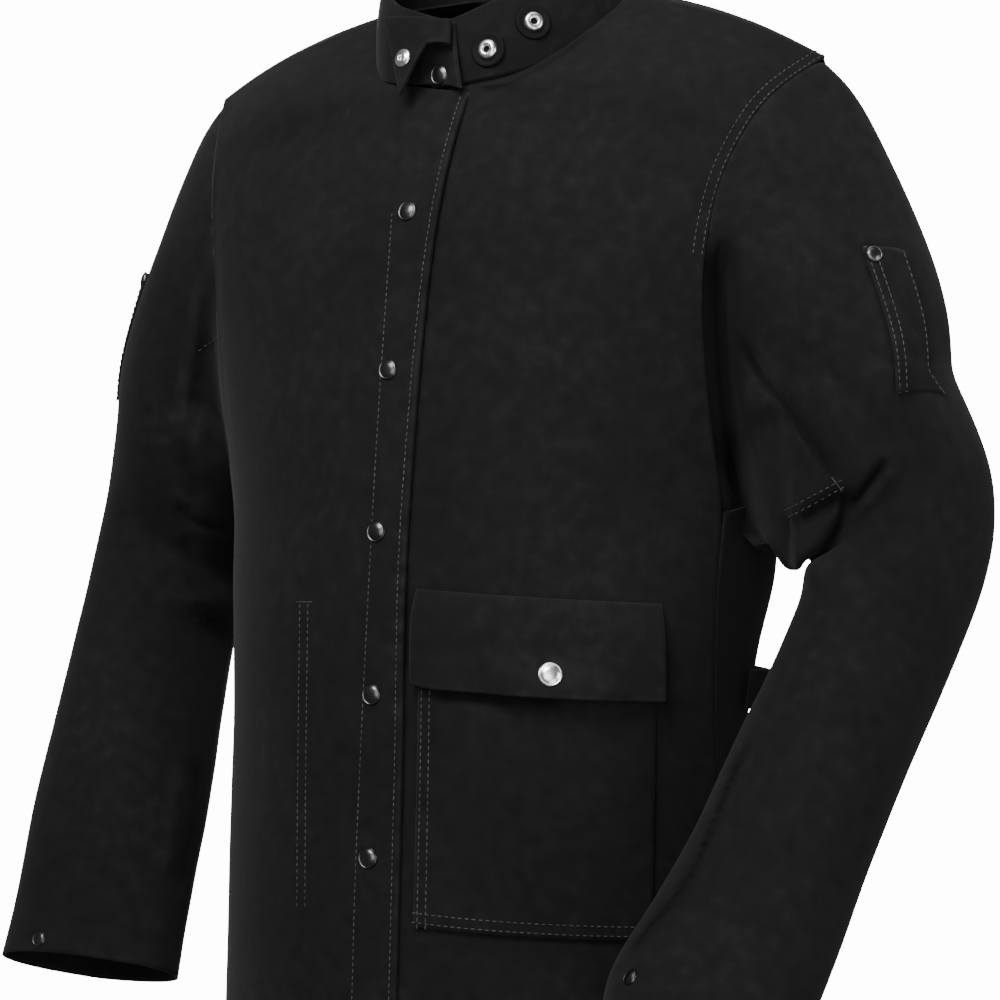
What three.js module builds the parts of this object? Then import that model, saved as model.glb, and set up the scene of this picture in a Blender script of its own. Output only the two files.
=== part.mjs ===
// Split-leather welding jacket, as worn, with a snap front, a stand collar and set-in sleeves.
// Millimetres. Z is up, the front faces -Y and the wearer's left is +X.
// The origin is the middle of the shoulder line at the base of the neck.
import * as THREE from "three";

// Driving dimensions
const LEATHER = 1.8;
const DOUBLED = 3;
const SEAM_GAP = 0.8;
const ARMHOLE_GAP = 1.5;
const LAP = 24;
const LAP_DEPTH = 4.6;
const LAP_EASE = 22;
const PLACKET_STEP = 12;
const RIGHT_EASE = 0.99;
const COLLAR_HEIGHT = 58;
const COLLAR_LEAN = 8;
const COLLAR_BULGE = 3;
const COLLAR_CLEAR = 2;
const TAB_WALL = 2.4;
const SNAP_SPACING = 114;
const SNAP_RADIUS = 7.4;
const SNAP_HEIGHT = 3.2;
const SNAP_SIDES = 12;
const REST_GAP = 0.4;
const CURVE_GAP = 0.8;

// Grid sizes
const FRONT_COLUMNS = 11;
const BACK_COLUMNS = 10;
const CAP_RINGS = 6;
const RINGS_PER_SECTION = 3;
const COLLAR_COLUMNS = 32;
const COLLAR_ROWS = 4;

// Trunk sections below the armhole. drop: below the neck. front, back: how far the centre front and the
// centre back stand from the neck axis. half: half width at the side seam. seam: how far forward it lies.
// round: 1 where the back is an ellipse, and less where it is squarer.
const TRUNK = [
  { drop: 760, front: 203, half: 214, seam: 64, back: 118, round: 0.8 },
  { drop: 690, front: 200, half: 211, seam: 65, back: 112, round: 0.84 },
  { drop: 620, front: 197, half: 208, seam: 66, back: 110, round: 0.88 },
  { drop: 550, front: 194, half: 205, seam: 68, back: 112, round: 0.9 },
  { drop: 490, front: 192, half: 205, seam: 69, back: 124, round: 0.76 },
  { drop: 440, front: 190, half: 206, seam: 68, back: 133, round: 0.6 },
  { drop: 390, front: 186, half: 208, seam: 62, back: 135, round: 0.6 },
];

// Yoke sections from armpit to shoulder seam. front and armhole are the ends of the front row, nape and scye
// the ends of the back row. crown lifts the middle of a row.
const YOKE = [
  { front: [0, -178, -336], armhole: [206, -74, -344], nape: [0, 133, -332], scye: [214, 0, -384], crown: 0 },
  { front: [0, -169, -282], armhole: [205, -86, -288], nape: [0, 132, -276], scye: [219, 44, -350], crown: 0 },
  { front: [0, -159, -230], armhole: [205, -91, -232], nape: [0, 130, -222], scye: [226, 67, -300], crown: 0 },
  { front: [0, -147, -180], armhole: [210, -88, -186], nape: [0, 126, -172], scye: [230, 76, -250], crown: 0 },
  { front: [0, -126, -125], armhole: [217, -79, -151], nape: [0, 119, -124], scye: [231, 77, -198], crown: 0 },
  { front: [0, -101, -84], armhole: [224, -67, -128], nape: [0, 110, -78], scye: [234, 70, -154], crown: 2 },
  { front: [30, -99, -81], armhole: [230, -54, -109], nape: [0, 96, -32], scye: [239, 58, -120], crown: 3 },
  { front: [62, -82, -71], armhole: [238, -39, -93], nape: [0, 82, 10], scye: [245, 41, -97], crown: 5 },
  { front: [90, -45, -42], armhole: [248, -20, -79], nape: [58, 64, 8], scye: [252, 21, -80], crown: 7 },
  { front: [102, 0, -8], armhole: [259, 0, -66], nape: [102, 0, -8], scye: [259, 0, -66], crown: 8 },
];
const THROAT_ROW = TRUNK.length + 5;
const FRONT_FULLNESS = 0.62;

// Sleeve sections below the cap: centre, half width from the body outwards, half depth from back to front,
// and how much lower the side next to the body hangs.
const SLEEVES = {
  left: [
    { name: "upper", at: [300, 2, -345], across: 66, deep: 80, hang: 130 },
    { name: "elbow", at: [314, 9, -402], across: 62, deep: 74, hang: 100 },
    { name: "below_elbow", at: [303, -18, -475], across: 57, deep: 68, hang: 24 },
    { name: "forearm", at: [277, -86, -595], across: 59, deep: 61, hang: 0 },
    { name: "cuff", at: [252, -160, -726], across: 60, deep: 52, hang: 0 },
  ],
  right: [
    { name: "upper", at: [-288, 6, -345], across: 70, deep: 84, hang: 130 },
    { name: "elbow", at: [-308, 10, -402], across: 62, deep: 74, hang: 76 },
    { name: "below_elbow", at: [-311, -14, -475], across: 61, deep: 68, hang: 24 },
    { name: "forearm", at: [-304, -68, -595], across: 66, deep: 64, hang: 0 },
    { name: "cuff", at: [-303, -118, -738], across: 75, deep: 52, hang: 0 },
  ],
};
const CAP_FULLNESS = 0.5;
const CAP_DROP = 0.95;
const CAP_FLARE = 0.4;

// Sleeve folds. along: ring where the fold runs. turn: where it lies round the sleeve, in degrees from the
// outside by way of the front. width is in rings, reach in degrees. depth is negative for a valley.
const SLEEVE_FOLDS = [
  { along: 4.6, turn: 95, slope: 0.025, width: 1.1, reach: 55, depth: 6 },
  { along: 9.3, turn: 100, slope: -0.01, width: 0.9, reach: 60, depth: -4 },
  { along: 10.6, turn: 110, slope: 0.02, width: 0.9, reach: 60, depth: 5 },
  { along: 12.2, turn: 130, slope: 0.02, width: 1.0, reach: 60, depth: -4 },
];

// The leather tucked back between the trunk and the underside of the upper sleeve, in the same terms
const UNDERARM_TUCK = { along: 3.2, turn: 150, width: 2.4, reach: 40, depth: 30 };

// Neckline round the collar seam, on the wearer's left, from throat to nape
const NECKLINE = [
  { x: 0, y: -101, z: -83, height: 0.84 },
  { x: 32, y: -98.5, z: -80, height: 0.96 },
  { x: 62, y: -82, z: -70, height: 1 },
  { x: 88, y: -46, z: -42, height: 1 },
  { x: 102, y: -2, z: -7.5, height: 1 },
  { x: 90, y: 38, z: 3.5, height: 1 },
  { x: 58, y: 66, z: 8.5, height: 1 },
  { x: 0, y: 83, z: 9.5, height: 1 },
];

const group = new THREE.Group();

function material(color, roughness, metalness) {
  return new THREE.MeshStandardMaterial({ color, roughness, metalness });
}

function add(name, geometry, finish) {
  const mesh = new THREE.Mesh(geometry, material(...finish));
  mesh.name = name;
  group.add(mesh);
  return mesh;
}

const SUEDE = [0x1c1c1d, 0.95, 0];
const GUNMETAL = [0x3a3b3d, 0.35, 0.9];
const NICKEL = [0xb9bbbd, 0.25, 1];
const BLACK_RUBBER = [0x171717, 0.7, 0];

const mix = (a, b, t) => a + (b - a) * t;
const radians = THREE.MathUtils.degToRad;
const smooth = THREE.MathUtils.smoothstep;

// A smooth value through a list at a fractional index
function along(list, index) {
  const last = list.length - 1;
  const start = Math.min(Math.max(Math.floor(index), 0), last - 1);
  const t = index - start;
  const p1 = list[start];
  const p2 = list[start + 1];
  const p0 = start > 0 ? list[start - 1] : 2 * p1 - p2;
  const p3 = start + 2 <= last ? list[start + 2] : 2 * p2 - p1;
  const a = 2 * p1;
  const b = p2 - p0;
  const c = 2 * p0 - 5 * p1 + 4 * p2 - p3;
  const d = 3 * p1 - 3 * p2 + p3 - p0;
  return (a + b * t + c * t * t + d * t * t * t) / 2;
}

function alongPoints(points, index) {
  const part = (axis) => along(points.map((point) => point[axis]), index);
  return new THREE.Vector3(part(0), part(1), part(2));
}

// Body rows from hem to shoulder, as the ends of the front row and of the back row
const BODY_ROWS = [
  ...TRUNK.map((row) => ({
    front: [0, -row.front, -row.drop],
    armhole: [row.half, -row.seam, -row.drop],
    nape: [0, row.back, -row.drop],
    scye: [row.half, -row.seam, -row.drop],
    crown: 0,
    round: row.round,
  })),
  ...YOKE.map((row, index) => ({ ...row, round: mix(TRUNK.at(-1).round, 1, smooth(index, 0, 5)) })),
];
const LAST_ROW = BODY_ROWS.length - 1;
const ARMPIT_ROW = TRUNK.length - 1;

// A point of the front row: turn runs from 0 at its inner end to 1 at the side, and below 0 past the centre.
// The row leaves the centre straight across and meets the side seam at a corner.
function frontRow(row, turn) {
  const start = alongPoints(BODY_ROWS.map((one) => one.front), row);
  const end = alongPoints(BODY_ROWS.map((one) => one.armhole), row);
  const crown = along(BODY_ROWS.map((one) => one.crown), row);
  const t = Math.abs(turn);
  const pull = 2 * t * (1 - t);
  const across = Math.sign(turn) * (pull * FRONT_FULLNESS + t * t);
  return new THREE.Vector3(
    mix(start.x, end.x, across),
    mix(start.y, end.y, t * t),
    mix(start.z, end.z, Math.abs(across)) + crown * Math.sin(Math.PI * t),
  );
}

// A point of the back row: turn runs from 0 at the centre to 1 at the side seam or the armhole.
function backRow(row, turn) {
  const start = alongPoints(BODY_ROWS.map((one) => one.nape), row);
  const end = alongPoints(BODY_ROWS.map((one) => one.scye), row);
  const crown = along(BODY_ROWS.map((one) => one.crown), row);
  const power = along(BODY_ROWS.map((one) => one.round), row);
  const across = Math.sin((turn * Math.PI) / 2) ** power;
  const deep = Math.abs(Math.cos((turn * Math.PI) / 2)) ** power;
  return new THREE.Vector3(
    mix(start.x, end.x, across),
    mix(end.y, start.y, deep),
    mix(start.z, end.z, across) + crown * Math.sin(Math.PI * across),
  );
}

// The wearer's right side is a little narrower, from hem to chest
function onSide(point, side, row) {
  const ease = side > 0 ? 1 : mix(RIGHT_EASE, 1, smooth(row, ARMPIT_ROW, LAST_ROW));
  point.x *= side * ease;
  return point;
}

// The front on one side: side is 1 for the wearer's left and -1 for the right.
// The left front sinks under the lap.
function frontPoint(side, row, turn) {
  const point = frontRow(row, turn);
  if (side > 0) point.y += LAP_DEPTH * (1 - smooth(point.x, LAP, LAP + LAP_EASE));
  return onSide(point, side, row);
}

// The turn at which the row reaches a distance from the centre line
function turnAt(side, row, reach) {
  let low = -0.4;
  let high = 1;
  for (let step = 0; step < 40; step++) {
    const middle = (low + high) / 2;
    if (side * frontPoint(side, row, middle).x < reach) low = middle;
    else high = middle;
  }
  return (low + high) / 2;
}

// A point and the outward normal of the front at a distance from the centre line and a height
function onFront(side, reach, height) {
  let low = 0;
  let high = THROAT_ROW;
  for (let step = 0; step < 40; step++) {
    const middle = (low + high) / 2;
    if (frontPoint(side, middle, turnAt(side, middle, reach)).z < height) low = middle;
    else high = middle;
  }
  const row = (low + high) / 2;
  const turn = turnAt(side, row, reach);
  const step = 0.02;
  const point = frontPoint(side, row, turn);
  const sideways = frontPoint(side, row, turn + step).sub(frontPoint(side, row, turn - step));
  const upward = frontPoint(side, row + step, turn).sub(frontPoint(side, row - step, turn));
  const normal = sideways.cross(upward).normalize().multiplyScalar(side);
  return { point, normal };
}

// A grid of points as a surface of quads. closed joins the last column to the first.
function gridSurface(rows, closed) {
  const width = rows[0].length;
  const points = rows.flat();
  const faces = [];
  const columns = closed ? width : width - 1;
  for (let row = 0; row + 1 < rows.length; row++) {
    for (let column = 0; column < columns; column++) {
      const next = (column + 1) % width;
      const base = row * width;
      faces.push({
        row,
        column,
        corners: [base + column, base + next, base + width + next, base + width + column],
      });
    }
  }
  return { points, faces };
}

// A surface as a closed solid of an even thickness. Its edges are pulled in by gap, so that pieces stay
// apart. wall may be a function of the point.
function thicken(surface, wall, gap) {
  const { points, faces } = surface;
  const used = new Map();
  faces.forEach((face) => face.corners.forEach((corner) => used.set(corner, used.size)));
  [...used.keys()].forEach((corner, index) => used.set(corner, index));
  const count = used.size;
  const spots = [...used.keys()].map((corner) => points[corner].clone());
  const quads = faces.map((face) => face.corners.map((corner) => used.get(corner)));
  const normals = spots.map(() => new THREE.Vector3());
  const middles = spots.map(() => ({ sum: new THREE.Vector3(), faces: 0 }));
  const edges = new Map();
  quads.forEach((quad) => {
    const [a, b, c, d] = quad.map((index) => spots[index]);
    const normal = c.clone().sub(a).cross(d.clone().sub(b)).normalize();
    const middle = a.clone().add(b).add(c).add(d).divideScalar(4);
    quad.forEach((index, corner) => {
      normals[index].add(normal);
      middles[index].sum.add(middle);
      middles[index].faces += 1;
      const next = quad[(corner + 1) % 4];
      edges.set(`${index},${next}`, [index, next]);
    });
  });
  const rim = [...edges.values()].filter(([from, to]) => !edges.has(`${to},${from}`));
  const after = new Map(rim);
  const before = new Map(rim.map(([from, to]) => [to, from]));
  const position = [];
  const moved = spots.map((spot, index) => {
    if (!after.has(index)) return spot;
    const inward = middles[index].sum.clone().divideScalar(middles[index].faces).sub(spot);
    const tangent = spots[after.get(index)].clone().sub(spots[before.get(index)]).normalize();
    inward.addScaledVector(tangent, -inward.dot(tangent)).normalize();
    return spot.clone().addScaledVector(inward, gap * (middles[index].faces === 1 ? Math.SQRT2 : 1));
  });
  [0.5, -0.5].forEach((share) => {
    moved.forEach((spot, index) => {
      const thickness = typeof wall === "function" ? wall(spot) : wall;
      const normal = normals[index].clone().normalize();
      position.push(...spot.clone().addScaledVector(normal, thickness * share).toArray());
    });
  });
  const index = [];
  quads.forEach(([a, b, c, d]) => {
    index.push(a, b, c, a, c, d);
    index.push(count + a, count + c, count + b, count + a, count + d, count + c);
  });
  rim.forEach(([from, to]) => {
    index.push(from, count + from, count + to, from, count + to, to);
  });
  const geometry = new THREE.BufferGeometry();
  geometry.setAttribute("position", new THREE.Float32BufferAttribute(position, 3));
  geometry.setIndex(index);
  return geometry;
}

const reversed = (surface) => ({
  points: surface.points,
  faces: surface.faces.map((face) => ({ ...face, corners: [...face.corners].reverse() })),
});

// Front panels. Their inner edge lies past the centre line up to the throat, then follows the neckline.
function frontSurface(side) {
  const rows = [];
  for (let row = 0; row <= LAST_ROW; row++) {
    const first = row <= THROAT_ROW ? turnAt(side, row, -LAP) : 0;
    const points = [];
    for (let column = 0; column <= FRONT_COLUMNS; column++) {
      points.push(frontPoint(side, row, mix(first, 1, column / FRONT_COLUMNS)));
    }
    rows.push(points);
  }
  const surface = gridSurface(rows, false);
  return side > 0 ? surface : reversed(surface);
}

const placketWall = (point) => mix(DOUBLED, LEATHER, smooth(-point.x, LAP - PLACKET_STEP, LAP));
add("right_front", thicken(frontSurface(-1), placketWall, SEAM_GAP), SUEDE);
add("left_front", thicken(frontSurface(1), LEATHER, SEAM_GAP), SUEDE);

// One half of the back, from the centre to the side seam. Above the nape its inner edge follows the neckline.
function backHalf(side) {
  const rows = [];
  for (let row = 0; row <= LAST_ROW; row++) {
    const points = [];
    for (let column = 0; column <= BACK_COLUMNS; column++) {
      points.push(onSide(backRow(row, column / BACK_COLUMNS), side, row));
    }
    rows.push(points);
  }
  const surface = gridSurface(rows, false);
  return side > 0 ? reversed(surface) : surface;
}

// Two surfaces joined where their points coincide
function weld(first, second) {
  const key = (point) => point.toArray().map((value) => (Math.round(value * 1000) + 0).toString()).join(",");
  const points = [...first.points];
  const known = new Map(points.map((point, index) => [key(point), index]));
  const place = second.points.map((point) => {
    if (!known.has(key(point))) known.set(key(point), points.push(point) - 1);
    return known.get(key(point));
  });
  const moved = second.faces.map((face) => {
    const corners = face.corners.map((corner) => place[corner]);
    return { ...face, corners };
  });
  return { points, faces: [...first.faces, ...moved] };
}

// The back is parted level with the armpits, so that each part is a simple shell
const wholeBack = weld(backHalf(1), backHalf(-1));
const backPart = (keep) => ({ points: wholeBack.points, faces: wholeBack.faces.filter(keep) });
add("back", thicken(backPart((face) => face.row < ARMPIT_ROW), LEATHER, ARMHOLE_GAP), SUEDE);
add("back_yoke", thicken(backPart((face) => face.row >= ARMPIT_ROW), LEATHER, ARMHOLE_GAP), SUEDE);

// The armhole loop of a side: shoulder, down the front to the armpit, and up the back
function armholeLoop(side) {
  const points = [];
  for (let row = LAST_ROW; row > ARMPIT_ROW; row--) points.push(onSide(frontRow(row, 1), side, row));
  for (let row = ARMPIT_ROW; row < LAST_ROW; row++) points.push(onSide(backRow(row, 1), side, row));
  return points;
}

// Sleeve rings: a cap that leaves the armhole, then sections along the arm
function sleeveRings(arm) {
  const side = arm === "left" ? 1 : -1;
  const sections = SLEEVES[arm];
  const loop = armholeLoop(side);
  const columns = loop.length;
  const centres = sections.map((section) => section.at);
  const outside = new THREE.Vector3(side, 0, 0);

  function ringPoint(index, column) {
    const ahead = alongPoints(centres, Math.min(index + 0.05, sections.length - 1));
    const behind = alongPoints(centres, Math.max(index - 0.05, 0));
    const direction = ahead.sub(behind).normalize();
    const outward = outside.clone().addScaledVector(direction, -outside.dot(direction)).normalize();
    const forward = direction.clone().cross(outward).multiplyScalar(side).normalize();
    const angle = (2 * Math.PI * column) / columns;
    const across = along(sections.map((section) => section.across), index);
    const deep = along(sections.map((section) => section.deep), index);
    const hang = along(sections.map((section) => section.hang), index);
    return alongPoints(centres, index)
      .addScaledVector(outward, across * Math.cos(angle))
      .addScaledVector(forward, deep * Math.sin(angle))
      .addScaledVector(direction, (-hang / 2) * Math.cos(angle));
  }

  const middle = loop.reduce((sum, point) => sum.add(point), new THREE.Vector3()).divideScalar(columns);
  const rings = [];
  for (let ring = 0; ring < CAP_RINGS; ring++) {
    const t = ring / CAP_RINGS;
    const points = loop.map((from, column) => {
      const to = ringPoint(0, column);
      const reach = from.distanceTo(to) * CAP_FULLNESS;
      const radial = from.clone().sub(middle).normalize();
      const above = Math.max(0, radial.z);
      const leave = new THREE.Vector3(side, 0, -CAP_DROP * above);
      leave.addScaledVector(radial, CAP_FLARE * above).normalize().multiplyScalar(reach);
      const arrive = ringPoint(0.1, column).sub(to).normalize().multiplyScalar(reach);
      const square = t * t;
      const cube = square * t;
      return new THREE.Vector3()
        .addScaledVector(from, 2 * cube - 3 * square + 1)
        .addScaledVector(leave, cube - 2 * square + t)
        .addScaledVector(to, 3 * square - 2 * cube)
        .addScaledVector(arrive, cube - square);
    });
    rings.push(points);
  }
  const steps = (sections.length - 1) * RINGS_PER_SECTION;
  for (let step = 0; step <= steps; step++) {
    const index = step / RINGS_PER_SECTION;
    rings.push(loop.map((_, column) => ringPoint(index, column)));
  }
  return foldRings(rings);
}

// How far a fold moves the leather at a ring and a turn
function foldHeight(fold, ring, turn) {
  const aside = turn - fold.turn;
  const off = (ring - fold.along - (fold.slope ?? 0) * aside) / fold.width;
  const fade = Math.cos(radians(Math.min(Math.abs(aside / fold.reach), 1) * 90));
  return fold.depth * Math.exp(-off * off) * fade;
}

// Pushes the folds of the table into the rings, away from or towards each ring's middle
function foldRings(rings) {
  const columns = rings[0].length;
  return rings.map((points, ring) => {
    const middle = points.reduce((sum, point) => sum.add(point), new THREE.Vector3()).divideScalar(columns);
    return points.map((point, column) => {
      const turn = (360 * column) / columns;
      const height = SLEEVE_FOLDS.reduce((sum, fold) => sum + foldHeight(fold, ring, turn), 0);
      const outward = point.clone().sub(middle).normalize();
      const folded = point.clone().addScaledVector(outward, height);
      folded.y += foldHeight(UNDERARM_TUCK, ring, turn);
      return ring === 0 ? point : folded;
    });
  });
}

// Sleeve panels by columns: the under sleeve lies next to the body, and the gusset takes its upper front part.
// The top sleeve is parted at the elbow.
const UNDER_SLEEVE = { from: 7, to: 16 };
const ELBOW_RING = 10;
const GUSSET = { rings: 7, from: 7, to: 12 };
const rings = { left: sleeveRings("left"), right: sleeveRings("right") };

function panelOf(face) {
  const within = (panel) => face.column >= panel.from && face.column < panel.to;
  if (within(GUSSET) && face.row < GUSSET.rings) return "gusset";
  if (within(UNDER_SLEEVE)) return "under_sleeve";
  return face.row < ELBOW_RING ? "sleeve" : "forearm";
}

["left", "right"].forEach((arm) => {
  const grid = gridSurface(rings[arm], true);
  const whole = arm === "left" ? grid : reversed(grid);
  ["sleeve", "forearm", "under_sleeve", "gusset"].forEach((panel) => {
    const faces = whole.faces.filter((face) => panelOf(face) === panel);
    add(`${arm}_${panel}`, thicken({ points: whole.points, faces }, LEATHER, ARMHOLE_GAP), SUEDE);
  });
});

// A point and the outward normal of a surface given as a function of two values
function frameOf(surface, u, v, step, sign) {
  const point = surface(u, v);
  const alongU = surface(u + step, v).sub(surface(u - step, v));
  const alongV = surface(u, v + step).sub(surface(u, v - step));
  const normal = alongU.cross(alongV).normalize().multiplyScalar(sign);
  return { point, normal };
}

// A point and the outward normal of a sleeve, at a ring and a turn in degrees
function onSleeve(arm, ring, turn) {
  const columns = rings[arm][0].length;
  const surface = (atRing, atTurn) => {
    const column = ((atTurn / 360) * columns + columns) % columns;
    const whole = Math.floor(column);
    const wrapped = [-1, 0, 1, 2].map((step) => (whole + step + columns) % columns);
    const corners = wrapped.map((one) => {
      const lengthwise = rings[arm].map((ringPoints) => ringPoints[one].toArray());
      return alongPoints(lengthwise, atRing);
    });
    return alongPoints(corners.map((corner) => corner.toArray()), 1 + column - whole);
  };
  return frameOf(surface, ring, turn, 0.05, arm === "left" ? -1 : 1);
}

// A point and the outward normal of the back, at a row and a turn
function onBack(side, row, turn) {
  const surface = (atRow, atTurn) => onSide(backRow(atRow, atTurn), side, atRow);
  return frameOf(surface, row, turn, 0.01, side);
}

// A patch that stands off a surface. place gives the point and normal at two shares from 0 to 1, and standoff
// gives the distance.
function patch(place, rowCount, columnCount, standoff, wall) {
  const rows = [];
  for (let row = 0; row <= rowCount; row++) {
    const points = [];
    for (let column = 0; column <= columnCount; column++) {
      const u = column / columnCount;
      const v = row / rowCount;
      const { point, normal } = place(u, v);
      points.push(point.clone().addScaledVector(normal, standoff(u, v)));
    }
    rows.push(points);
  }
  const surface = gridSurface(rows, false);
  const [a, b, , d] = surface.faces[0].corners.map((corner) => surface.points[corner]);
  const facing = b.clone().sub(a).cross(d.clone().sub(a)).dot(place(0, 0).normal);
  return thicken(facing > 0 ? surface : reversed(surface), wall, 0);
}

const FLAT_ON = LEATHER + REST_GAP;
const hump = (share) => Math.sin(Math.PI * share);

// Chest pocket on the left front. Its lower edge falls towards the side.
const POCKET = { from: 36, to: 177, top: -464, foot: -677, tilt: 0.07, puff: 3 };
const pocketPlace = (from, to, top, foot) => (u, v) => {
  const reach = mix(from, to, u);
  return onFront(1, reach, mix(foot, top, v) - POCKET.tilt * (reach - from));
};
const pocketStandoff = (u, v) => FLAT_ON + POCKET.puff * hump(u) ** 0.5 * Math.min(1, 2 * v);
add(
  "chest_pocket",
  patch(pocketPlace(POCKET.from, POCKET.to, POCKET.top, POCKET.foot), 8, 8, pocketStandoff, LEATHER),
  SUEDE,
);

// Pocket flap: sewn along its top edge, and lying over the mouth of the pocket
const FLAP = { from: 33, to: 180, top: -443, foot: -511, lift: 6.5 };
const flapStandoff = (u, v) => FLAT_ON + FLAP.lift * smooth(1 - v, 0, 0.28) + 1.5 * (1 - v) * u;
const flapPlace = pocketPlace(FLAP.from, FLAP.to, FLAP.top, FLAP.foot);
add("chest_pocket_flap", patch(flapPlace, 6, 10, flapStandoff, LEATHER), SUEDE);

// Sleeve pockets on the outside of each upper sleeve. The tilt lowers the outer side, so that top and foot lie level.
const SLEEVE_POCKET = {
  ringTop: 3.5,
  ringFoot: 6.6,
  tiltTop: 0.45,
  tiltFoot: 1.1,
  turnTop: 17,
  turnFoot: 10,
  turnTo: 40,
  puff: 2.5,
};
["left", "right"].forEach((arm) => {
  const place = (u, v) =>
    onSleeve(
      arm,
      mix(SLEEVE_POCKET.ringFoot, SLEEVE_POCKET.ringTop, v) +
        mix(SLEEVE_POCKET.tiltFoot, SLEEVE_POCKET.tiltTop, v) * (1 - u),
      mix(mix(SLEEVE_POCKET.turnFoot, SLEEVE_POCKET.turnTop, v), SLEEVE_POCKET.turnTo, u),
    );
  const standoff = (u, v) => FLAT_ON + SLEEVE_POCKET.puff * hump(u) * v;
  add(`${arm}_sleeve_pocket`, patch(place, 5, 4, standoff, LEATHER), SUEDE);
});

// Waist tabs on the back, standing off in the middle like a loop
const WAIST_TAB = { row: 3.55, half: 0.24, turnFrom: 0.5, turnTo: 0.86, clear: 2.4, lift: 10 };
const tabStandoff = (u) => FLAT_ON + WAIST_TAB.clear + WAIST_TAB.lift * hump(u) ** 2;
["left", "right"].forEach((arm) => {
  const side = arm === "left" ? 1 : -1;
  const place = (u, v) =>
    onBack(
      side,
      mix(WAIST_TAB.row - WAIST_TAB.half, WAIST_TAB.row + WAIST_TAB.half, v),
      mix(WAIST_TAB.turnFrom, WAIST_TAB.turnTo, u),
    );
  add(`${arm}_waist_tab`, patch(place, 2, 10, tabStandoff, LEATHER), SUEDE);
});

// Collar band from its left end, round the nape, to the right end that laps over
const HALF_NECK = NECKLINE.length - 1;
const NECK_POINTS = NECKLINE.map((point) => [point.x, point.y, point.z]);
const NECK_HEIGHTS = NECKLINE.map((point) => point.height);
const LEFT_END = -0.3;
const RIGHT_END = { foot: -0.72, top: -0.3 };

function collarPoint(place, height) {
  const side = place > 0 ? 1 : -1;
  const index = HALF_NECK - Math.abs(place);
  const base = alongPoints(NECK_POINTS, index);
  const inward = new THREE.Vector3(-base.x, -base.y, 0).normalize();
  const tall = COLLAR_HEIGHT * along(NECK_HEIGHTS, Math.max(index, 0));
  base.z += COLLAR_CLEAR + tall * height;
  base.addScaledVector(inward, COLLAR_LEAN * height - COLLAR_BULGE * hump(height));
  if (side > 0 && base.y < 0) base.y += LAP_DEPTH * (1 - smooth(base.x, LAP, LAP + LAP_EASE));
  base.x *= side;
  return base;
}

const onCollar = (place, height) => frameOf(collarPoint, place, height, 0.02, -1);
const collarRows = [];
for (let row = 0; row <= COLLAR_ROWS; row++) {
  const points = [];
  for (let column = 0; column <= COLLAR_COLUMNS; column++) {
    const height = row / COLLAR_ROWS;
    const rightEnd = mix(RIGHT_END.foot, RIGHT_END.top, height) - HALF_NECK;
    const place = mix(HALF_NECK - LEFT_END, rightEnd, column / COLLAR_COLUMNS);
    points.push(collarPoint(place, height));
  }
  collarRows.push(points);
}
add("collar", thicken(reversed(gridSurface(collarRows, false)), DOUBLED, SEAM_GAP), SUEDE);

// Throat tab, folded back over the right end of the collar. A row runs from its top to its lower edge.
const TAB = [
  { name: "sewn_end", top: [3, -100.5, -34], foot: [4, -105, -52] },
  { name: "fold_start", top: [9, -101.5, -34], foot: [11, -106.5, -53] },
  { name: "fold_end", top: [8, -106, -34], foot: [9, -111, -52] },
  { name: "bend", top: [-2, -106.5, -33], foot: [-5, -112, -52] },
  { name: "middle", top: [-22, -106, -30], foot: [-13, -118, -70] },
  { name: "free_end", top: [-47, -102, -28], foot: [-22, -121, -89] },
];
const TAB_COLUMNS = 10;
const TAB_ROWS = 4;
const tabPoint = (place, height) => {
  const foot = alongPoints(TAB.map((row) => row.foot), place);
  const top = alongPoints(TAB.map((row) => row.top), place);
  return foot.lerp(top, height);
};
const tabRows = [];
for (let row = 0; row <= TAB_ROWS; row++) {
  const points = [];
  for (let column = 0; column <= TAB_COLUMNS; column++) {
    points.push(tabPoint((column / TAB_COLUMNS) * (TAB.length - 1), row / TAB_ROWS));
  }
  tabRows.push(points);
}
add("collar_tab", thicken(reversed(gridSurface(tabRows, false)), TAB_WALL, 0), SUEDE);

// Snap caps: a domed disc that rests on a surface
const CAP_PROFILE = [
  [0, 0],
  [0.9, 0],
  [1, 0.2],
  [0.93, 0.5],
  [0.66, 0.85],
  [0, 1],
];
const STUD_PROFILE = [
  [0, 0],
  [1, 0],
  [1, 0.3],
  [0.62, 0.42],
  [0.56, 1],
  [0.24, 1],
  [0.2, 0.5],
  [0, 0.5],
];

function turned(profile, radius, height) {
  const points = profile.map(([out, up]) => new THREE.Vector2(out * radius, up * height));
  return new THREE.LatheGeometry(points, SNAP_SIDES);
}

function setOn(name, geometry, place, lift, finish) {
  const mesh = add(name, geometry, finish);
  mesh.quaternion.setFromUnitVectors(new THREE.Vector3(0, 1, 0), place.normal);
  mesh.position.copy(place.point).addScaledVector(place.normal, lift);
}

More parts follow.
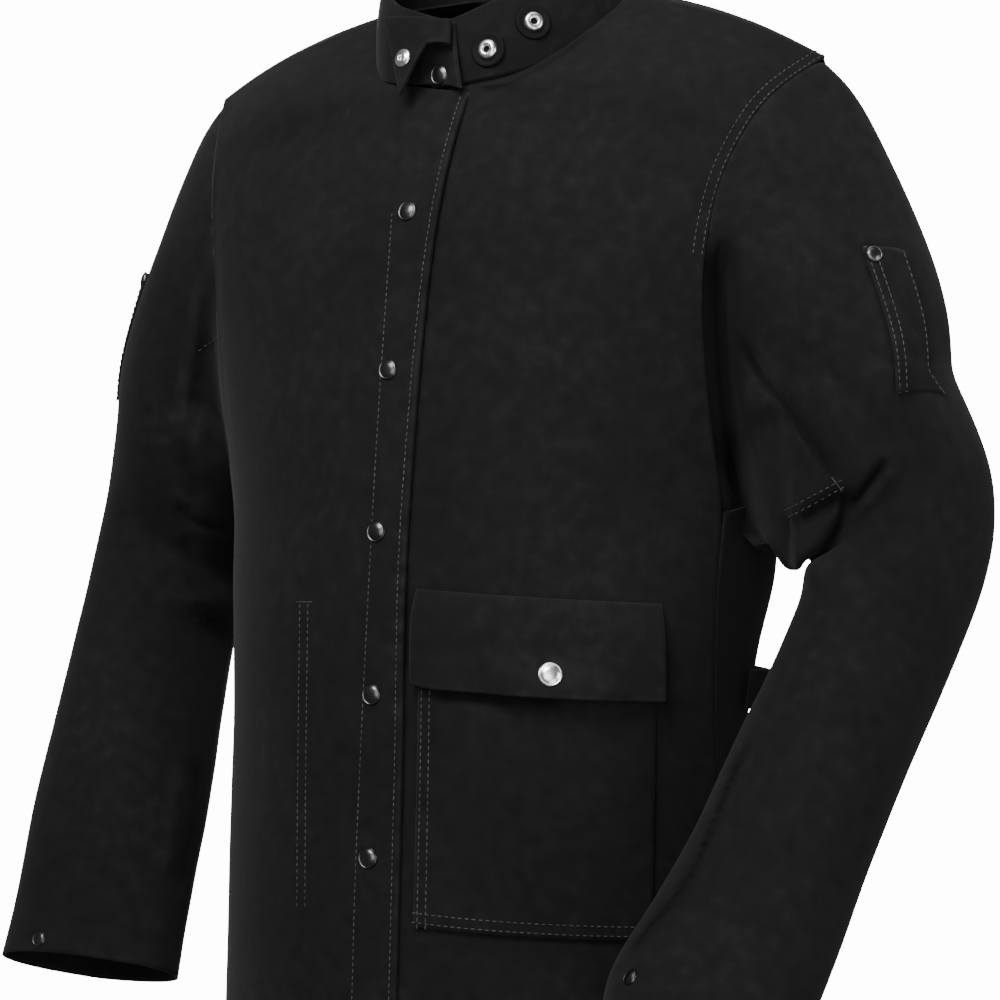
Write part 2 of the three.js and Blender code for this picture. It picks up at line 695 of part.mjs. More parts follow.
const cap = () => turned(CAP_PROFILE, SNAP_RADIUS, SNAP_HEIGHT);
const ON_LEATHER = LEATHER / 2 + REST_GAP;
const ON_DOUBLED = DOUBLED / 2 + REST_GAP;
const TOP_SNAP = { place: 0.02 - HALF_NECK, height: 0.16 };
const SECOND_SNAP = { reach: 0.5, height: -175 };
setOn("front_snap_1", cap(), onCollar(TOP_SNAP.place, TOP_SNAP.height), ON_DOUBLED + CURVE_GAP, GUNMETAL);
for (let snap = 0; snap < 5; snap++) {
  const place = onFront(-1, SECOND_SNAP.reach, SECOND_SNAP.height - SNAP_SPACING * snap);
  setOn(`front_snap_${snap + 2}`, cap(), place, ON_DOUBLED, GUNMETAL);
}
const FLAP_SNAP = { u: 0.6, v: 0.24, larger: 1.15 };
const onFlap = flapPlace(FLAP_SNAP.u, FLAP_SNAP.v);
const flapLift = flapStandoff(FLAP_SNAP.u, FLAP_SNAP.v) + ON_LEATHER + CURVE_GAP;
const flapCap = turned(CAP_PROFILE, SNAP_RADIUS * FLAP_SNAP.larger, SNAP_HEIGHT);
setOn("flap_snap", flapCap, onFlap, flapLift, NICKEL);

const SMALL_SNAP = 0.8;
const CORNER = { rings: 0.2, turn: 4 };
const smallCap = () => turned(CAP_PROFILE, SNAP_RADIUS * SMALL_SNAP, SNAP_HEIGHT * SMALL_SNAP);
const LAST_RING = rings.left.length - 1;
const CUFF_SNAPS = { ring: LAST_RING - 0.19, leftTurn: 148, rightTurn: 80 };
["left", "right"].forEach((arm) => {
  const cuff = onSleeve(arm, CUFF_SNAPS.ring, CUFF_SNAPS[`${arm}Turn`]);
  setOn(`${arm}_cuff_snap`, smallCap(), cuff, ON_LEATHER + REST_GAP, GUNMETAL);
  const corner = onSleeve(arm, SLEEVE_POCKET.ringTop + CORNER.rings, SLEEVE_POCKET.turnTo - CORNER.turn);
  setOn(`${arm}_sleeve_pocket_snap`, smallCap(), corner, FLAT_ON + ON_LEATHER + 2 * CURVE_GAP, GUNMETAL);
});

// Throat fastening: two studs with washers on the left of the collar, and a socket on the tab
const WASHER_RADIUS = 13;
const WASHER_WALL = 1;
const STUD_HEIGHT = 3.6;
const WASHER_PROFILE = [
  [0.62, 0],
  [1, 0],
  [0.97, 1],
  [0.62, 1],
  [0.62, 0],
];
const STUDS = [
  { place: HALF_NECK - 1.15, height: 0.36 },
  { place: HALF_NECK - 2.1, height: 0.5 },
];
STUDS.forEach((stud, number) => {
  const place = onCollar(stud.place, stud.height);
  const washer = turned(WASHER_PROFILE, WASHER_RADIUS, WASHER_WALL);
  setOn(`collar_washer_${number + 1}`, washer, place, ON_DOUBLED + CURVE_GAP, BLACK_RUBBER);
  const post = turned(STUD_PROFILE, SNAP_RADIUS, STUD_HEIGHT);
  setOn(`collar_stud_${number + 1}`, post, place, ON_DOUBLED + REST_GAP, NICKEL);
});
const SOCKET = { place: 4.5, height: 0.36, smaller: 0.9 };
const tabFace = frameOf(tabPoint, SOCKET.place, SOCKET.height, 0.02, -1);
const socket = turned(STUD_PROFILE, SNAP_RADIUS * SOCKET.smaller, STUD_HEIGHT * SOCKET.smaller);
setOn("collar_socket", socket, tabFace, TAB_WALL / 2 + REST_GAP, NICKEL);

export default group;
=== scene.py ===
# %% [markdown]
# # A black split-leather work jacket, shown as worn
# The jacket stands on shoulders that are not shown, so its panels keep the form of a body. The packed
# model gives every panel, snap and stud its place. This script dresses that frame: it smooths the
# panels, folds them, sews them and gives each material its own finish.

# %% Load the frame
import math
from itertools import combinations

import bmesh
import bpy
import numpy as np
from mathutils import Matrix, Vector, noise
from mathutils.bvhtree import BVHTree
from mathutils.kdtree import KDTree


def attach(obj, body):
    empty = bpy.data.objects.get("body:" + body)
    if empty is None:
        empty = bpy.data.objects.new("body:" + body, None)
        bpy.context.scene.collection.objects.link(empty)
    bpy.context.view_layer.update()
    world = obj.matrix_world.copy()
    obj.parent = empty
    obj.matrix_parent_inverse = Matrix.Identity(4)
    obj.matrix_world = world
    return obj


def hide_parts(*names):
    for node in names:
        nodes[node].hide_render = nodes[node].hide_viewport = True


# Millimetres in a metre
MM = 1000
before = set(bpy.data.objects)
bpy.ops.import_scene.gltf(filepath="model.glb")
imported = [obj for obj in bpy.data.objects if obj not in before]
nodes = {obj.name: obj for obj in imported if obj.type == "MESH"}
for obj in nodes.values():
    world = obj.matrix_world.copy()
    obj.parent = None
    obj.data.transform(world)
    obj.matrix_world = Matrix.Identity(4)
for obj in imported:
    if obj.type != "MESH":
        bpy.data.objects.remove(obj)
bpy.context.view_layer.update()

# %% [markdown]
# ## Camera
# The picture was taken level with the chest, from the wearer's left front, through a long lens. A 120 mm
# lens at 2.5 m shows 0.75 m across, which puts 0.75 mm in a pixel at the neck. The neck stands a little to
# the right of the picture's middle, so the camera steps aside by that much instead of using lens shift.

# %% Camera
PICTURE = 1000
LENS = 120
SENSOR = 36
CAMERA_TURN = math.radians(30)
CAMERA_DISTANCE = 2.5
CAMERA_HEIGHT = -0.381
CAMERA_ASIDE = -0.0075
PICTURE_RIGHT = Vector((math.cos(CAMERA_TURN), math.sin(CAMERA_TURN), 0))
PICTURE_UP = Vector((0, 0, 1))
LOOKING = Vector((-math.sin(CAMERA_TURN), math.cos(CAMERA_TURN), 0))
camera_place = -LOOKING * CAMERA_DISTANCE + PICTURE_RIGHT * CAMERA_ASIDE + PICTURE_UP * CAMERA_HEIGHT
camera = bpy.data.objects.new("camera", bpy.data.cameras.new("camera"))
camera.data.lens = LENS
camera.data.sensor_width = SENSOR
camera.location = camera_place
camera.rotation_euler = (math.radians(90), 0, CAMERA_TURN)
bpy.context.scene.collection.objects.link(camera)
bpy.context.scene.camera = camera


def picture_ray(across, down):
    """The direction from the camera through a point of the picture, in pixels."""
    step = SENSOR / LENS / PICTURE
    middle = PICTURE / 2
    ray = LOOKING + PICTURE_RIGHT * (across - middle) * step + PICTURE_UP * (middle - down) * step
    return ray.normalized()


print("camera at", [round(value, 3) for value in camera_place])

# %% [markdown]
# ## Shader wires
# A material is a graph of nodes. Wrapping a socket in a small class lets the graph be written as sums, so
# `1 - mask` adds a Math node by itself. Every other node comes from one method, which takes its type, its
# settings and its sockets.

# %% Shader wires
class Wire:
    """A node socket that takes part in Python arithmetic."""

    def __init__(self, tree, socket=None):
        self.tree = tree
        self.socket = socket

    def node(self, kind, settings=None, sockets=None, output=0):
        made = self.tree.nodes.new(kind)
        for name, value in (settings or {}).items():
            if name == "stops":
                self.set_stops(made.color_ramp, value)
            else:
                setattr(made, name, value)
        for name, value in (sockets or {}).items():
            if isinstance(value, Wire):
                self.tree.links.new(value.socket, made.inputs[name])
            else:
                made.inputs[name].default_value = value
        return Wire(self.tree, made.outputs[output] if made.outputs else None)

    @staticmethod
    def set_stops(ramp, stops):
        while len(ramp.elements) < len(stops):
            ramp.elements.new(1)
        for element, (position, colour) in zip(ramp.elements, stops):
            element.position = position
            element.color = colour

    def math(self, operation, first, second):
        return self.node("ShaderNodeMath", {"operation": operation}, {0: first, 1: second})

    def __add__(self, other):
        return self.math("ADD", self, other)

    def __radd__(self, other):
        return self.math("ADD", other, self)

    def __sub__(self, other):
        return self.math("SUBTRACT", self, other)

    def __rsub__(self, other):
        return self.math("SUBTRACT", other, self)

    def __mul__(self, other):
        return self.math("MULTIPLY", self, other)

    def __rmul__(self, other):
        return self.math("MULTIPLY", other, self)


def new_material(name):
    """An empty material and the wire that starts its graph."""
    material = bpy.data.materials.new(name)
    material.use_nodes = True
    material.node_tree.nodes.clear()
    return material, Wire(material.node_tree)


def grey(value):
    """An even grey as a colour socket wants it."""
    return (value, value, value, 1)


def object_noise(start, scale, detail):
    """Noise that keeps its place on a piece."""
    place = start.node("ShaderNodeTexCoord", output="Object")
    return start.node("ShaderNodeTexNoise", None, {"Vector": place, "Scale": scale, "Detail": detail})


def grey_ramp(tone, *stops):
    """A colour that runs through a few greys."""
    stops = [(position, grey(value)) for position, value in stops]
    return tone.node("ShaderNodeValToRGB", {"stops": stops}, {"Fac": tone})


def bump_of(height, strength, depth):
    """The way a surface faces where a relief roughens it."""
    return height.node("ShaderNodeBump", None, {"Height": height, "Strength": strength, "Distance": depth})


def end_graph(start, sockets):
    """Ends a graph in one surface."""
    surface = start.node("ShaderNodeBsdfPrincipled", None, sockets)
    start.node("ShaderNodeOutputMaterial", None, {"Surface": surface})


print("shader wires ready")

# %% [markdown]
# ## Stage and light
# The jacket was shown against plain white. A tall white ring stands round it and a pale floor lies well
# below the hem. The ring glows for the camera only: if it lit the leather too, every edge would shine.
# Large soft area lights do the lighting, as soft boxes do in a studio.

# %% Stage
RING_SIDES = 96
RING_RADIUS = 4.5
RING_HEIGHT = 9
FLOOR_HEIGHT = -1.5
RING_GLOW = 14
FLOOR_GLOW = 6


def glowing_white(name, strength):
    """A white that shines evenly."""
    material, start = new_material(name)
    glow = start.node("ShaderNodeEmission", None, {"Color": grey(1), "Strength": strength})
    start.node("ShaderNodeOutputMaterial", None, {"Surface": glow})
    return material


def stage_piece(name, bm, material):
    """A stage object that only the camera sees."""
    mesh = bpy.data.meshes.new(name)
    bm.to_mesh(mesh)
    bm.free()
    piece = bpy.data.objects.new(name, mesh)
    piece.data.materials.append(material)
    piece.visible_diffuse = False
    piece.visible_glossy = False
    bpy.context.scene.collection.objects.link(piece)


ring = bmesh.new()
bmesh.ops.create_cone(ring, segments=RING_SIDES, radius1=RING_RADIUS, radius2=RING_RADIUS, depth=RING_HEIGHT)
stage_piece("backdrop", ring, glowing_white("backdrop_white", RING_GLOW))
disc = bmesh.new()
bmesh.ops.create_circle(disc, cap_ends=True, segments=RING_SIDES, radius=RING_RADIUS)
bmesh.ops.translate(disc, verts=disc.verts, vec=(0, 0, FLOOR_HEIGHT))
stage_piece("floor", disc, glowing_white("floor_white", FLOOR_GLOW))
print("stage: a ring of", RING_RADIUS, "m and a floor")

# %% Light
# name, direction towards the light in degrees (0 is the camera's side, plus is the picture's right),
# height above the chest in degrees, distance in metres, size in metres, power in watts
LIGHTS = [
    ("key", -28, 46, 2.6, 1.5, 105),
    ("side", 62, 2, 2.6, 1.4, 36),
    ("fill", -8, 6, 3.2, 2.2, 55),
    ("low", 22, -25, 2.8, 1.8, 27),
    ("top", 20, 80, 2.4, 1.8, 12),
    ("back", 183, 16, 2.8, 1.4, 150),
]
CHEST = Vector((0, 0, -0.4))
for name, turn, height, distance, size, power in LIGHTS:
    lamp = bpy.data.lights.new(name, "AREA")
    lamp.shape = "DISK"
    lamp.size = size
    lamp.energy = power
    turn = CAMERA_TURN + math.radians(turn)
    height = math.radians(height)
    flat = Vector((math.sin(turn), -math.cos(turn), 0)) * math.cos(height)
    towards = flat + Vector((0, 0, math.sin(height)))
    lamp_object = bpy.data.objects.new(name, lamp)
    lamp_object.location = CHEST + towards * distance
    lamp_object.rotation_euler = towards.to_track_quat("Z", "Y").to_euler()
    bpy.context.scene.collection.objects.link(lamp_object)
AMBIENT = 0.2
world = bpy.data.worlds.new("soft room")
world.use_nodes = True
world.node_tree.nodes["Background"].inputs["Color"].default_value = grey(1)
world.node_tree.nodes["Background"].inputs["Strength"].default_value = AMBIENT
bpy.context.scene.world = world
print("lights:", len(LIGHTS))

# %% [markdown]
# ## Suede
# Split leather is the under layer of the hide, so it has no shiny grain. It shows a short nap that lies
# this way and that, in soft patches of slightly different black. Three sizes of noise make the patches, the
# brushed streaks and the nap itself. A value that each panel carries lightens its cut edges, which rub grey,
# paints a highlight onto ridges and paints shade into folds. A little sheen gives the nap its pale rim.

# %% Suede
SUEDE_DARK = 0.0018
SUEDE_MID = 0.0046
SUEDE_WORN = 0.012
PATCH_SCALE = 11
BRUSH_SCALE = 95
NAP_SCALE = 700
PATCH_SHARE = 0.45
BRUSH_SHARE = 0.75
NAP_SHARE = 0.5
TONE_DROP = 0.37
DARK_STOP = 0.12
MID_STOP = 0.52
LEAST_ROUGH = 0.8
NAP_ROUGH = 0.25
NAP_RELIEF = 0.7
BRUSH_RELIEF = 0.6
NAP_DEPTH = 0.0005
NAP_STRENGTH = 0.5


def suede_finish(name):
    """Black split leather with a brushed nap."""
    material, start = new_material(name)
    patches = object_noise(start, PATCH_SCALE, detail=4)
    brushed = object_noise(start, BRUSH_SCALE, detail=5)
    nap = object_noise(start, NAP_SCALE, detail=3)
    # The panel attribute read here holds the grey of rubbed cut edges, plus a painted highlight on ridges and
    # painted shade in valleys
    wear = start.node("ShaderNodeAttribute", {"attribute_name": "wear"}, output="Fac")
    tone = patches * PATCH_SHARE + brushed * BRUSH_SHARE + nap * NAP_SHARE + wear - TONE_DROP
    sockets = {
        "Base Color": grey_ramp(tone, (DARK_STOP, SUEDE_DARK), (MID_STOP, SUEDE_MID), (1, SUEDE_WORN)),
        "Roughness": LEAST_ROUGH + nap * NAP_ROUGH,
        "Normal": bump_of(nap * NAP_RELIEF + brushed * BRUSH_RELIEF, NAP_STRENGTH, NAP_DEPTH),
        "Specular IOR Level": 0.12,
        "Sheen Weight": 0.03,
        "Sheen Roughness": 0.45,
    }
    end_graph(start, sockets)
    return material


suede = suede_finish("black_suede")
print("material:", suede.name)

# %% [markdown]
# ## From CAD panels to leather
# Each panel of the frame is a wall of flat facets. A copy is merged and its triangles are paired into
# quads, because a subdivision surface is only smooth on quads. The triangles of the cut edges are paired
# first, so that each edge stays one clean strip.

# %% Panels in quads
MERGE = 1e-5
WALL = 0.0033
FLAT_ENOUGH = math.radians(70)
ANY_SHAPE = math.radians(180)
GRID_PULL = 2

# piece, nodes of the frame that it stands for, seam gap that its edges are let out by
PANELS = [
    ("right_front", ["right_front"], 0.0007),
    ("left_front", ["left_front"], 0.0007),
    ("back", ["back", "back_yoke"], 0.0014),
    ("left_sleeve", ["left_sleeve", "left_forearm", "left_under_sleeve", "left_gusset"], 0.0014),
    ("right_sleeve", ["right_sleeve", "right_forearm", "right_under_sleeve", "right_gusset"], 0.0014),
    ("collar", ["collar"], 0.011),
    ("collar_tab", ["collar_tab"], 0),
    ("chest_pocket", ["chest_pocket"], 0),
    ("chest_pocket_flap", ["chest_pocket_flap"], 0),
    ("left_sleeve_pocket", ["left_sleeve_pocket"], 0),
    ("right_sleeve_pocket", ["right_sleeve_pocket"], 0),
    ("left_waist_tab", ["left_waist_tab"], 0),
    ("right_waist_tab", ["right_waist_tab"], 0),
]


def is_rim(face):
    """Whether a face is a strip of the cut edge, which is as narrow as the leather is thick."""
    return min(edge.calc_length() for edge in face.edges) < WALL


def wall_edges(bm):
    """The short edges that run through the leather from its face to its back."""
    return [edge for edge in bm.edges if edge.calc_length() < WALL]


def quads_of(node):
    """A merged copy of a node's mesh, with its triangles paired, first those of the cut edges."""
    bm = bmesh.new()
    bm.from_mesh(nodes[node].data)
    bmesh.ops.remove_doubles(bm, verts=bm.verts, dist=MERGE)
    rim = {face for face in bm.faces if is_rim(face)}
    diagonals = [edge for edge in bm.edges if edge.calc_length() > WALL and rim.issuperset(edge.link_faces)]
    bmesh.ops.dissolve_edges(bm, edges=diagonals, use_verts=False, use_face_split=False)
    bmesh.ops.join_triangles(
        bm,
        faces=[face for face in bm.faces if len(face.verts) == 3],
        angle_face_threshold=FLAT_ENOUGH,
        angle_shape_threshold=ANY_SHAPE,
        topology_influence=GRID_PULL,
    )
    return bm


print("panels to smooth:", len(PANELS))

# %% [markdown]
# ## Joined parts
# The frame builds the back in two parts and each sleeve in four, with a narrow gap between them. The real
# panels have no seam there. Each wall edge beside a gap is paired with the nearest one across it, outside
# to outside. The pairs are welded, and the strips of cut edge that now lie inside the leather are deleted.

# %% Joined parts
PARTING = 0.009


def paired(first, second):
    """Which of the first edges each of the second meets across the parting, by the smallest gaps."""
    middles = [np.array([(one.co + two.co) / 2 for one, two in edges]) for edges in (first, second)]
    gaps = np.linalg.norm(middles[0][:, None] - middles[1][None], axis=2)
    chosen = {}
    for flat in np.argsort(gaps, axis=None):
        one, two = np.unravel_index(flat, gaps.shape)
        if gaps[one, two] > PARTING:
            break
        if one not in chosen.values() and two not in chosen:
            chosen[two] = one
    for two, other in combinations(chosen, 2):
        kept = gaps[chosen[two], two] + gaps[chosen[other], other]
        if gaps[chosen[two], other] + gaps[chosen[other], two] < kept:
            chosen[two], chosen[other] = chosen[other], chosen[two]
    return chosen


def mark_outside(bm):
    """Marks the points on the outside of a part, which faces away from the part's own middle."""
    mark = bm.verts.layers.int.new("outside")
    middle = sum((vert.co for vert in bm.verts), Vector()) / len(bm.verts)
    outside, most = set(), 0
    left = {face for face in bm.faces if not is_rim(face)}
    while left:
        half = [left.pop()]
        for face in half:
            for edge in face.edges:
                half.extend(other for other in edge.link_faces if other in left)
                left.difference_update(edge.link_faces)
        facing = sum(face.calc_area() * face.normal.dot(face.calc_center_median() - middle) for face in half)
        if facing > most:
            outside, most = {vert for face in half for vert in face.verts}, facing
    for vert in bm.verts:
        vert[mark] = vert in outside


def is_buried(face):
    """Whether leather goes on past both long edges of a strip."""
    long_edges = sorted(face.edges, key=lambda edge: edge.calc_length())[-2:]
    return all(len(edge.link_faces) > 2 for edge in long_edges)


def join_parting(bm, other):
    """Adds a second part of the same panel, and closes the gap between the two."""
    mark_outside(bm)
    mark_outside(other)
    part = bpy.data.meshes.new("part")
    other.to_mesh(part)
    other.free()
    ends = [edge.verts[:] for edge in wall_edges(bm)]
    first_part = set(bm.verts)
    bm.from_mesh(part)
    bpy.data.meshes.remove(part)
    mark = bm.verts.layers.int["outside"]
    added = [edge.verts[:] for edge in wall_edges(bm) if edge.verts[0] not in first_part]
    partner = {}
    for index, same in paired(ends, added).items():
        one, two = added[index]
        same_one, same_two = ends[same]
        if one[mark] != same_one[mark]:
            same_one, same_two = same_two, same_one
        partner[one] = same_one
        partner[two] = same_two
    for vert, same in partner.items():
        same.co = (same.co + vert.co) / 2
    kept = set(partner.values())
    bmesh.ops.weld_verts(bm, targetmap=partner)
    inside = [face for face in bm.faces if is_rim(face) and kept.issuperset(face.verts) and is_buried(face)]
    bmesh.ops.delete(bm, geom=inside, context="FACES")
    bm.verts.layers.int.remove(mark)
    print("joined", len(kept), "points,", len(inside), "inner faces removed")


print("parts to join:", {name: len(parts) for name, parts, _ in PANELS if len(parts) > 1})

# %% [markdown]
# ## Elbows and cut edges
# A tight fold between a few facets would pinch once it is smoothed, so the inner side of each elbow is
# eased first. The cut edges are creased, so they stay as crisp as cut leather, and they are let out by the
# frame's seam gap, so that the seams close.

# %% Elbows
EASE_ROUNDS = 6
EASE_SHARE = 0.5

# piece, middle of the elbow's inner side, reach in metres
ELBOWS = {
    "left_sleeve": (Vector((0.25, -0.03, -0.40)), 0.12),
    "right_sleeve": (Vector((-0.26, -0.04, -0.43)), 0.13),
}


def ease_elbow(bm, middle, reach):
    """Softens the tight fold inside an elbow. Both sides of the leather move together."""
    walls = {vert for edge in wall_edges(bm) for vert in edge.verts}
    inner = [vert for vert in bm.verts if vert not in walls and (vert.co - middle).length < reach]
    for _ in range(EASE_ROUNDS):
        wanted = {}
        for vert in inner:
            beside = [edge.other_vert(vert).co for edge in vert.link_edges]
            near = 1 - ((vert.co - middle).length / reach) ** 2
            wanted[vert] = (sum(beside, Vector()) / len(beside) - vert.co) * EASE_SHARE * near
        tree = KDTree(len(inner))
        for index, vert in enumerate(inner):
            tree.insert(vert.co, index)
        tree.balance()
        together = {}
        for vert in inner:
            same = [wanted[inner[index]] for _, index, _ in tree.find_range(vert.co, WALL)]
            together[vert] = sum(same, Vector()) / len(same)
        for vert, move in together.items():
            vert.co += move


print("elbows to ease:", list(ELBOWS))

# %% Cut edges
CORNER_TURN = math.radians(35)
THROAT_FRONT = -0.1
THROAT_DEPTH = 0.05
FACES_DOWN = -0.5
LONG_ROW = 0.04
ROWS_BELOW = -0.385
STEEP = 0.7


def halve_long_rows(bm):
    """Cuts the tall rows of the trunk in two, so that its quads are nearer to squares."""
    tall = []
    for edge in bm.edges:
        low, high = edge.verts
        run = high.co - low.co
        if max(low.co.z, high.co.z) < ROWS_BELOW and abs(run.z) > max(LONG_ROW, STEEP * run.length):
            tall.append(edge)
    bmesh.ops.subdivide_edges(bm, edges=tall, cuts=1, use_grid_fill=True)


def let_out(bm, seam, downwards):
    """Moves the cut edges outwards in the panel's own surface, or only those below, behind the throat."""
    outward = {}
    for face in bm.faces:
        if is_rim(face) and (face.normal.z < FACES_DOWN or not downwards):
            for vert in face.verts:
                outward[vert] = outward.get(vert, Vector()) + face.normal
    for vert, direction in outward.items():
        behind = min(1, max(0, (vert.co.y - THROAT_FRONT) / THROAT_DEPTH))
        vert.co += direction.normalized() * (seam * behind if downwards else seam)


def crease_edges(bm):
    """Keeps the cut edges and corners crisp, and marks the edges as seams to find them again later."""
    crease = bm.edges.layers.float.new("crease_edge")
    for edge in bm.edges:
        rims = sum(is_rim(face) for face in edge.link_faces)
        if rims == 1:
            edge.seam = True
            edge[crease] = 1
        if rims == 2 and edge.calc_face_angle(0) > CORNER_TURN:
            edge[crease] = 1


print("corners are kept above", round(math.degrees(CORNER_TURN)), "degrees")

# %% Smooth panels
SMOOTH_LEVELS = 3


def smooth_mesh(name, bm):
    """The subdivision surface of a bmesh, as a mesh."""
    rough = bpy.data.meshes.new(name + "_rough")
    bm.to_mesh(rough)
    bm.free()
    holder = bpy.data.objects.new(name + "_holder", rough)
    bpy.context.scene.collection.objects.link(holder)
    surface = holder.modifiers.new("smooth", "SUBSURF")
    surface.levels = SMOOTH_LEVELS
    surface.render_levels = SMOOTH_LEVELS
    bpy.context.view_layer.update()
    mesh = bpy.data.meshes.new_from_object(holder.evaluated_get(bpy.context.evaluated_depsgraph_get()))
    bpy.data.objects.remove(holder)
    bpy.data.meshes.remove(rough)
    mesh.name = name + "_leather"
    return mesh


panels = {}
stands_for = {}
for name, parts, seam in PANELS:
    bm = quads_of(parts[0])
    for part in parts[1:]:
        join_parting(bm, quads_of(part))
    if name in ELBOWS:
        ease_elbow(bm, *ELBOWS[name])
    crease_edges(bm)
    let_out(bm, seam, name == "collar")
    halve_long_rows(bm)
    panels[name] = smooth_mesh(name, bm)
    stands_for[name] = parts
print("panels:", {name: len(mesh.polygons) for name, mesh in panels.items()})

# %% [markdown]
# ## Where the leather bulges to
# Slack moves the leather away from the body. On the trunk that is away from the spine, and on a sleeve it
# is away from the middle line of the arm. Both sides of a panel move the same way, so it keeps its
# thickness, and a pocket moves with the panel that it is sewn to.

# %% Arm lines
ARM_STEPS = 80
TINY = 1e-9

# The middle line of each arm, from the armhole to the cuff
ARM_LINES = {
    "left": [
        (0.222, -0.006, -0.215),
        (0.300, 0.002, -0.345),
        (0.314, 0.009, -0.402),
        (0.303, -0.018, -0.475),
        (0.277, -0.086, -0.595),
        (0.252, -0.160, -0.726),
    ],
    "right": [
        (-0.222, -0.006, -0.215),
        (-0.288, 0.006, -0.345),
        (-0.308, 0.010, -0.402),
        (-0.311, -0.014, -0.475),
        (-0.304, -0.068, -0.595),
        (-0.303, -0.118, -0.738),
    ],
}


def smooth_line(points, count):
    """Points along a smooth line through a few points."""
    points = np.array(points, float)
    padded = np.concatenate([[2 * points[0] - points[1]], points, [2 * points[-1] - points[-2]]])
    found = []
    for share in np.linspace(0, len(points) - 1 - TINY, count):
        start = int(share)
        t = share - start
        p0, p1, p2, p3 = padded[start:start + 4]
        curve = 2 * p1 + (p2 - p0) * t + (2 * p0 - 5 * p1 + 4 * p2 - p3) * t**2
        found.append((curve + (3 * p1 - 3 * p2 + p3 - p0) * t**3) / 2)
    return np.array(found)


arm_lines = {arm: smooth_line(points, ARM_STEPS) for arm, points in ARM_LINES.items()}
print("arm lines:", {arm: len(line) for arm, line in arm_lines.items()})

# %% Directions
SPINE = (0, -0.02)
SHOULDER_TURN = -0.25


def unit(vectors):
    """The vectors at length one."""
    return vectors / np.maximum(np.linalg.norm(vectors, axis=1, keepdims=True), TINY)


def nearest_on(line, points):
    """For each point, the index of the nearest point of a line and the distance to it."""
    tree = KDTree(len(line))
    for index, spot in enumerate(line):
        tree.insert(spot, index)
    tree.balance()
    found = [tree.find(point) for point in points]
    return np.array([hit[1] for hit in found]), np.array([hit[2] for hit in found])


def part_of(name):
    """The limb that a piece belongs to."""
    limb = name.split("_")[0]
    return limb if any(word in name for word in ("sleeve", "cuff")) else "trunk"


def outward_of(name, points):
    """The direction in which each point of a piece bulges."""
    limb = part_of(name)
    if limb == "trunk":
        middle = np.stack(
            [
                np.full(len(points), SPINE[0]),
                np.full(len(points), SPINE[1]),
                np.minimum(points[:, 2], SHOULDER_TURN),
            ],
            1,
        )
        return unit(points - middle)
    line = arm_lines[limb]
    tangents = unit(np.gradient(line, axis=0))
    nearest, _ = nearest_on(line, points)
    off = points - line[nearest]
    along = np.sum(off * tangents[nearest], axis=1, keepdims=True) * tangents[nearest]
    return unit(off - along)


def read_points(mesh):
    """The vertices of a mesh as an array."""
    flat = np.empty(len(mesh.vertices) * 3)
    mesh.vertices.foreach_get("co", flat)
    return flat.reshape(-1, 3)


rest = {name: read_points(mesh) for name, mesh in panels.items()}
outward = {name: outward_of(name, points) for name, points in rest.items()}
print("points to fold:", sum(len(points) for points in rest.values()))

# %% [markdown]
# ## Underarm and cuff
# Before the folds come a few larger shapes. Under the left arm the sleeve has leather to spare, which
# stands forward in a flat plane and hangs down in a soft bag. The left cuff flares a little. Each is a soft
# push round one point of the picture: a bulge goes towards the camera, a pull goes across the picture. A
# cloth simulation could find such shapes too, but not the ones that the picture shows.

# %% Underarm and cuff
# name, limb, point of the picture, reach in mm, height towards the camera in mm
BULGES = [
    ("inner sleeve, below", "left", (781, 492), 24, 38),
    ("inner sleeve", "left", (772, 450), 20, 20),
    ("inner sleeve, above", "left", (761, 405), 16, 16),
]

# name, limb or piece, point of the picture, reach in mm, move to the picture's right and up in mm
PULLS = [
    ("underarm bag", "left", (788, 506), 29, (-6, -44)),
    ("bag's foot", "left", (801, 546), 15, (0, -13)),
    ("forearm's top", "left", (826, 574), 15, (-10, 5)),
    ("left cuff", "left", (650, 932), 62, (-28, -8)),
    ("left cuff's rim", "left", (700, 995), 95, (0, -16)),
    ("flap corner", "chest_pocket_flap", (405, 695), 8, (4, 5)),
]
print("pushes:", len(BULGES) + len(PULLS))

# %% Find the leather
SLEEVE_DEPTH = 0.18


def surface_tree(places):
    """One search tree over the panels whose places are given, and the panel of each of its faces."""
    verts, faces, owners = [], [], []
    for name, points in places.items():
        base = len(verts)
        verts.extend(Vector(point) for point in points)
        faces.extend([base + corner for corner in face.vertices] for face in panels[name].polygons)
        owners.extend([name] * len(panels[name].polygons))
    return BVHTree.FromPolygons(verts, faces), owners


def on_leather(across, down):
    """The point of the leather behind a point of the picture, and the piece that it lies on."""
    spot, _, face, _ = all_panels.ray_cast(camera_place, picture_ray(across, down))
    if spot is None:
        return None, None
    return np.array(spot), panel_owner[face]


def at_sleeve_depth(across, down):
    """The place behind a point of the picture at the depth of the left sleeve, with or without leather."""
    ray = np.array(picture_ray(across, down))
    return np.array(camera_place) + ray * (CAMERA_DISTANCE - SLEEVE_DEPTH) / (ray @ np.array(LOOKING))


all_panels, panel_owner = surface_tree(rest)
print("faces to find:", len(panel_owner))

# %% Push the leather
SAME_WALL = 0.06
towards_camera = -np.array(LOOKING)


def shares_near(points, middle, reach):
    """How much each point goes with a push, and how far it lies in front of the push's middle."""
    off = points - middle
    depth = off @ towards_camera
    aside = np.linalg.norm(off - np.outer(depth, towards_camera), axis=1)
    return np.exp(-((aside * MM / reach) ** 2)), depth


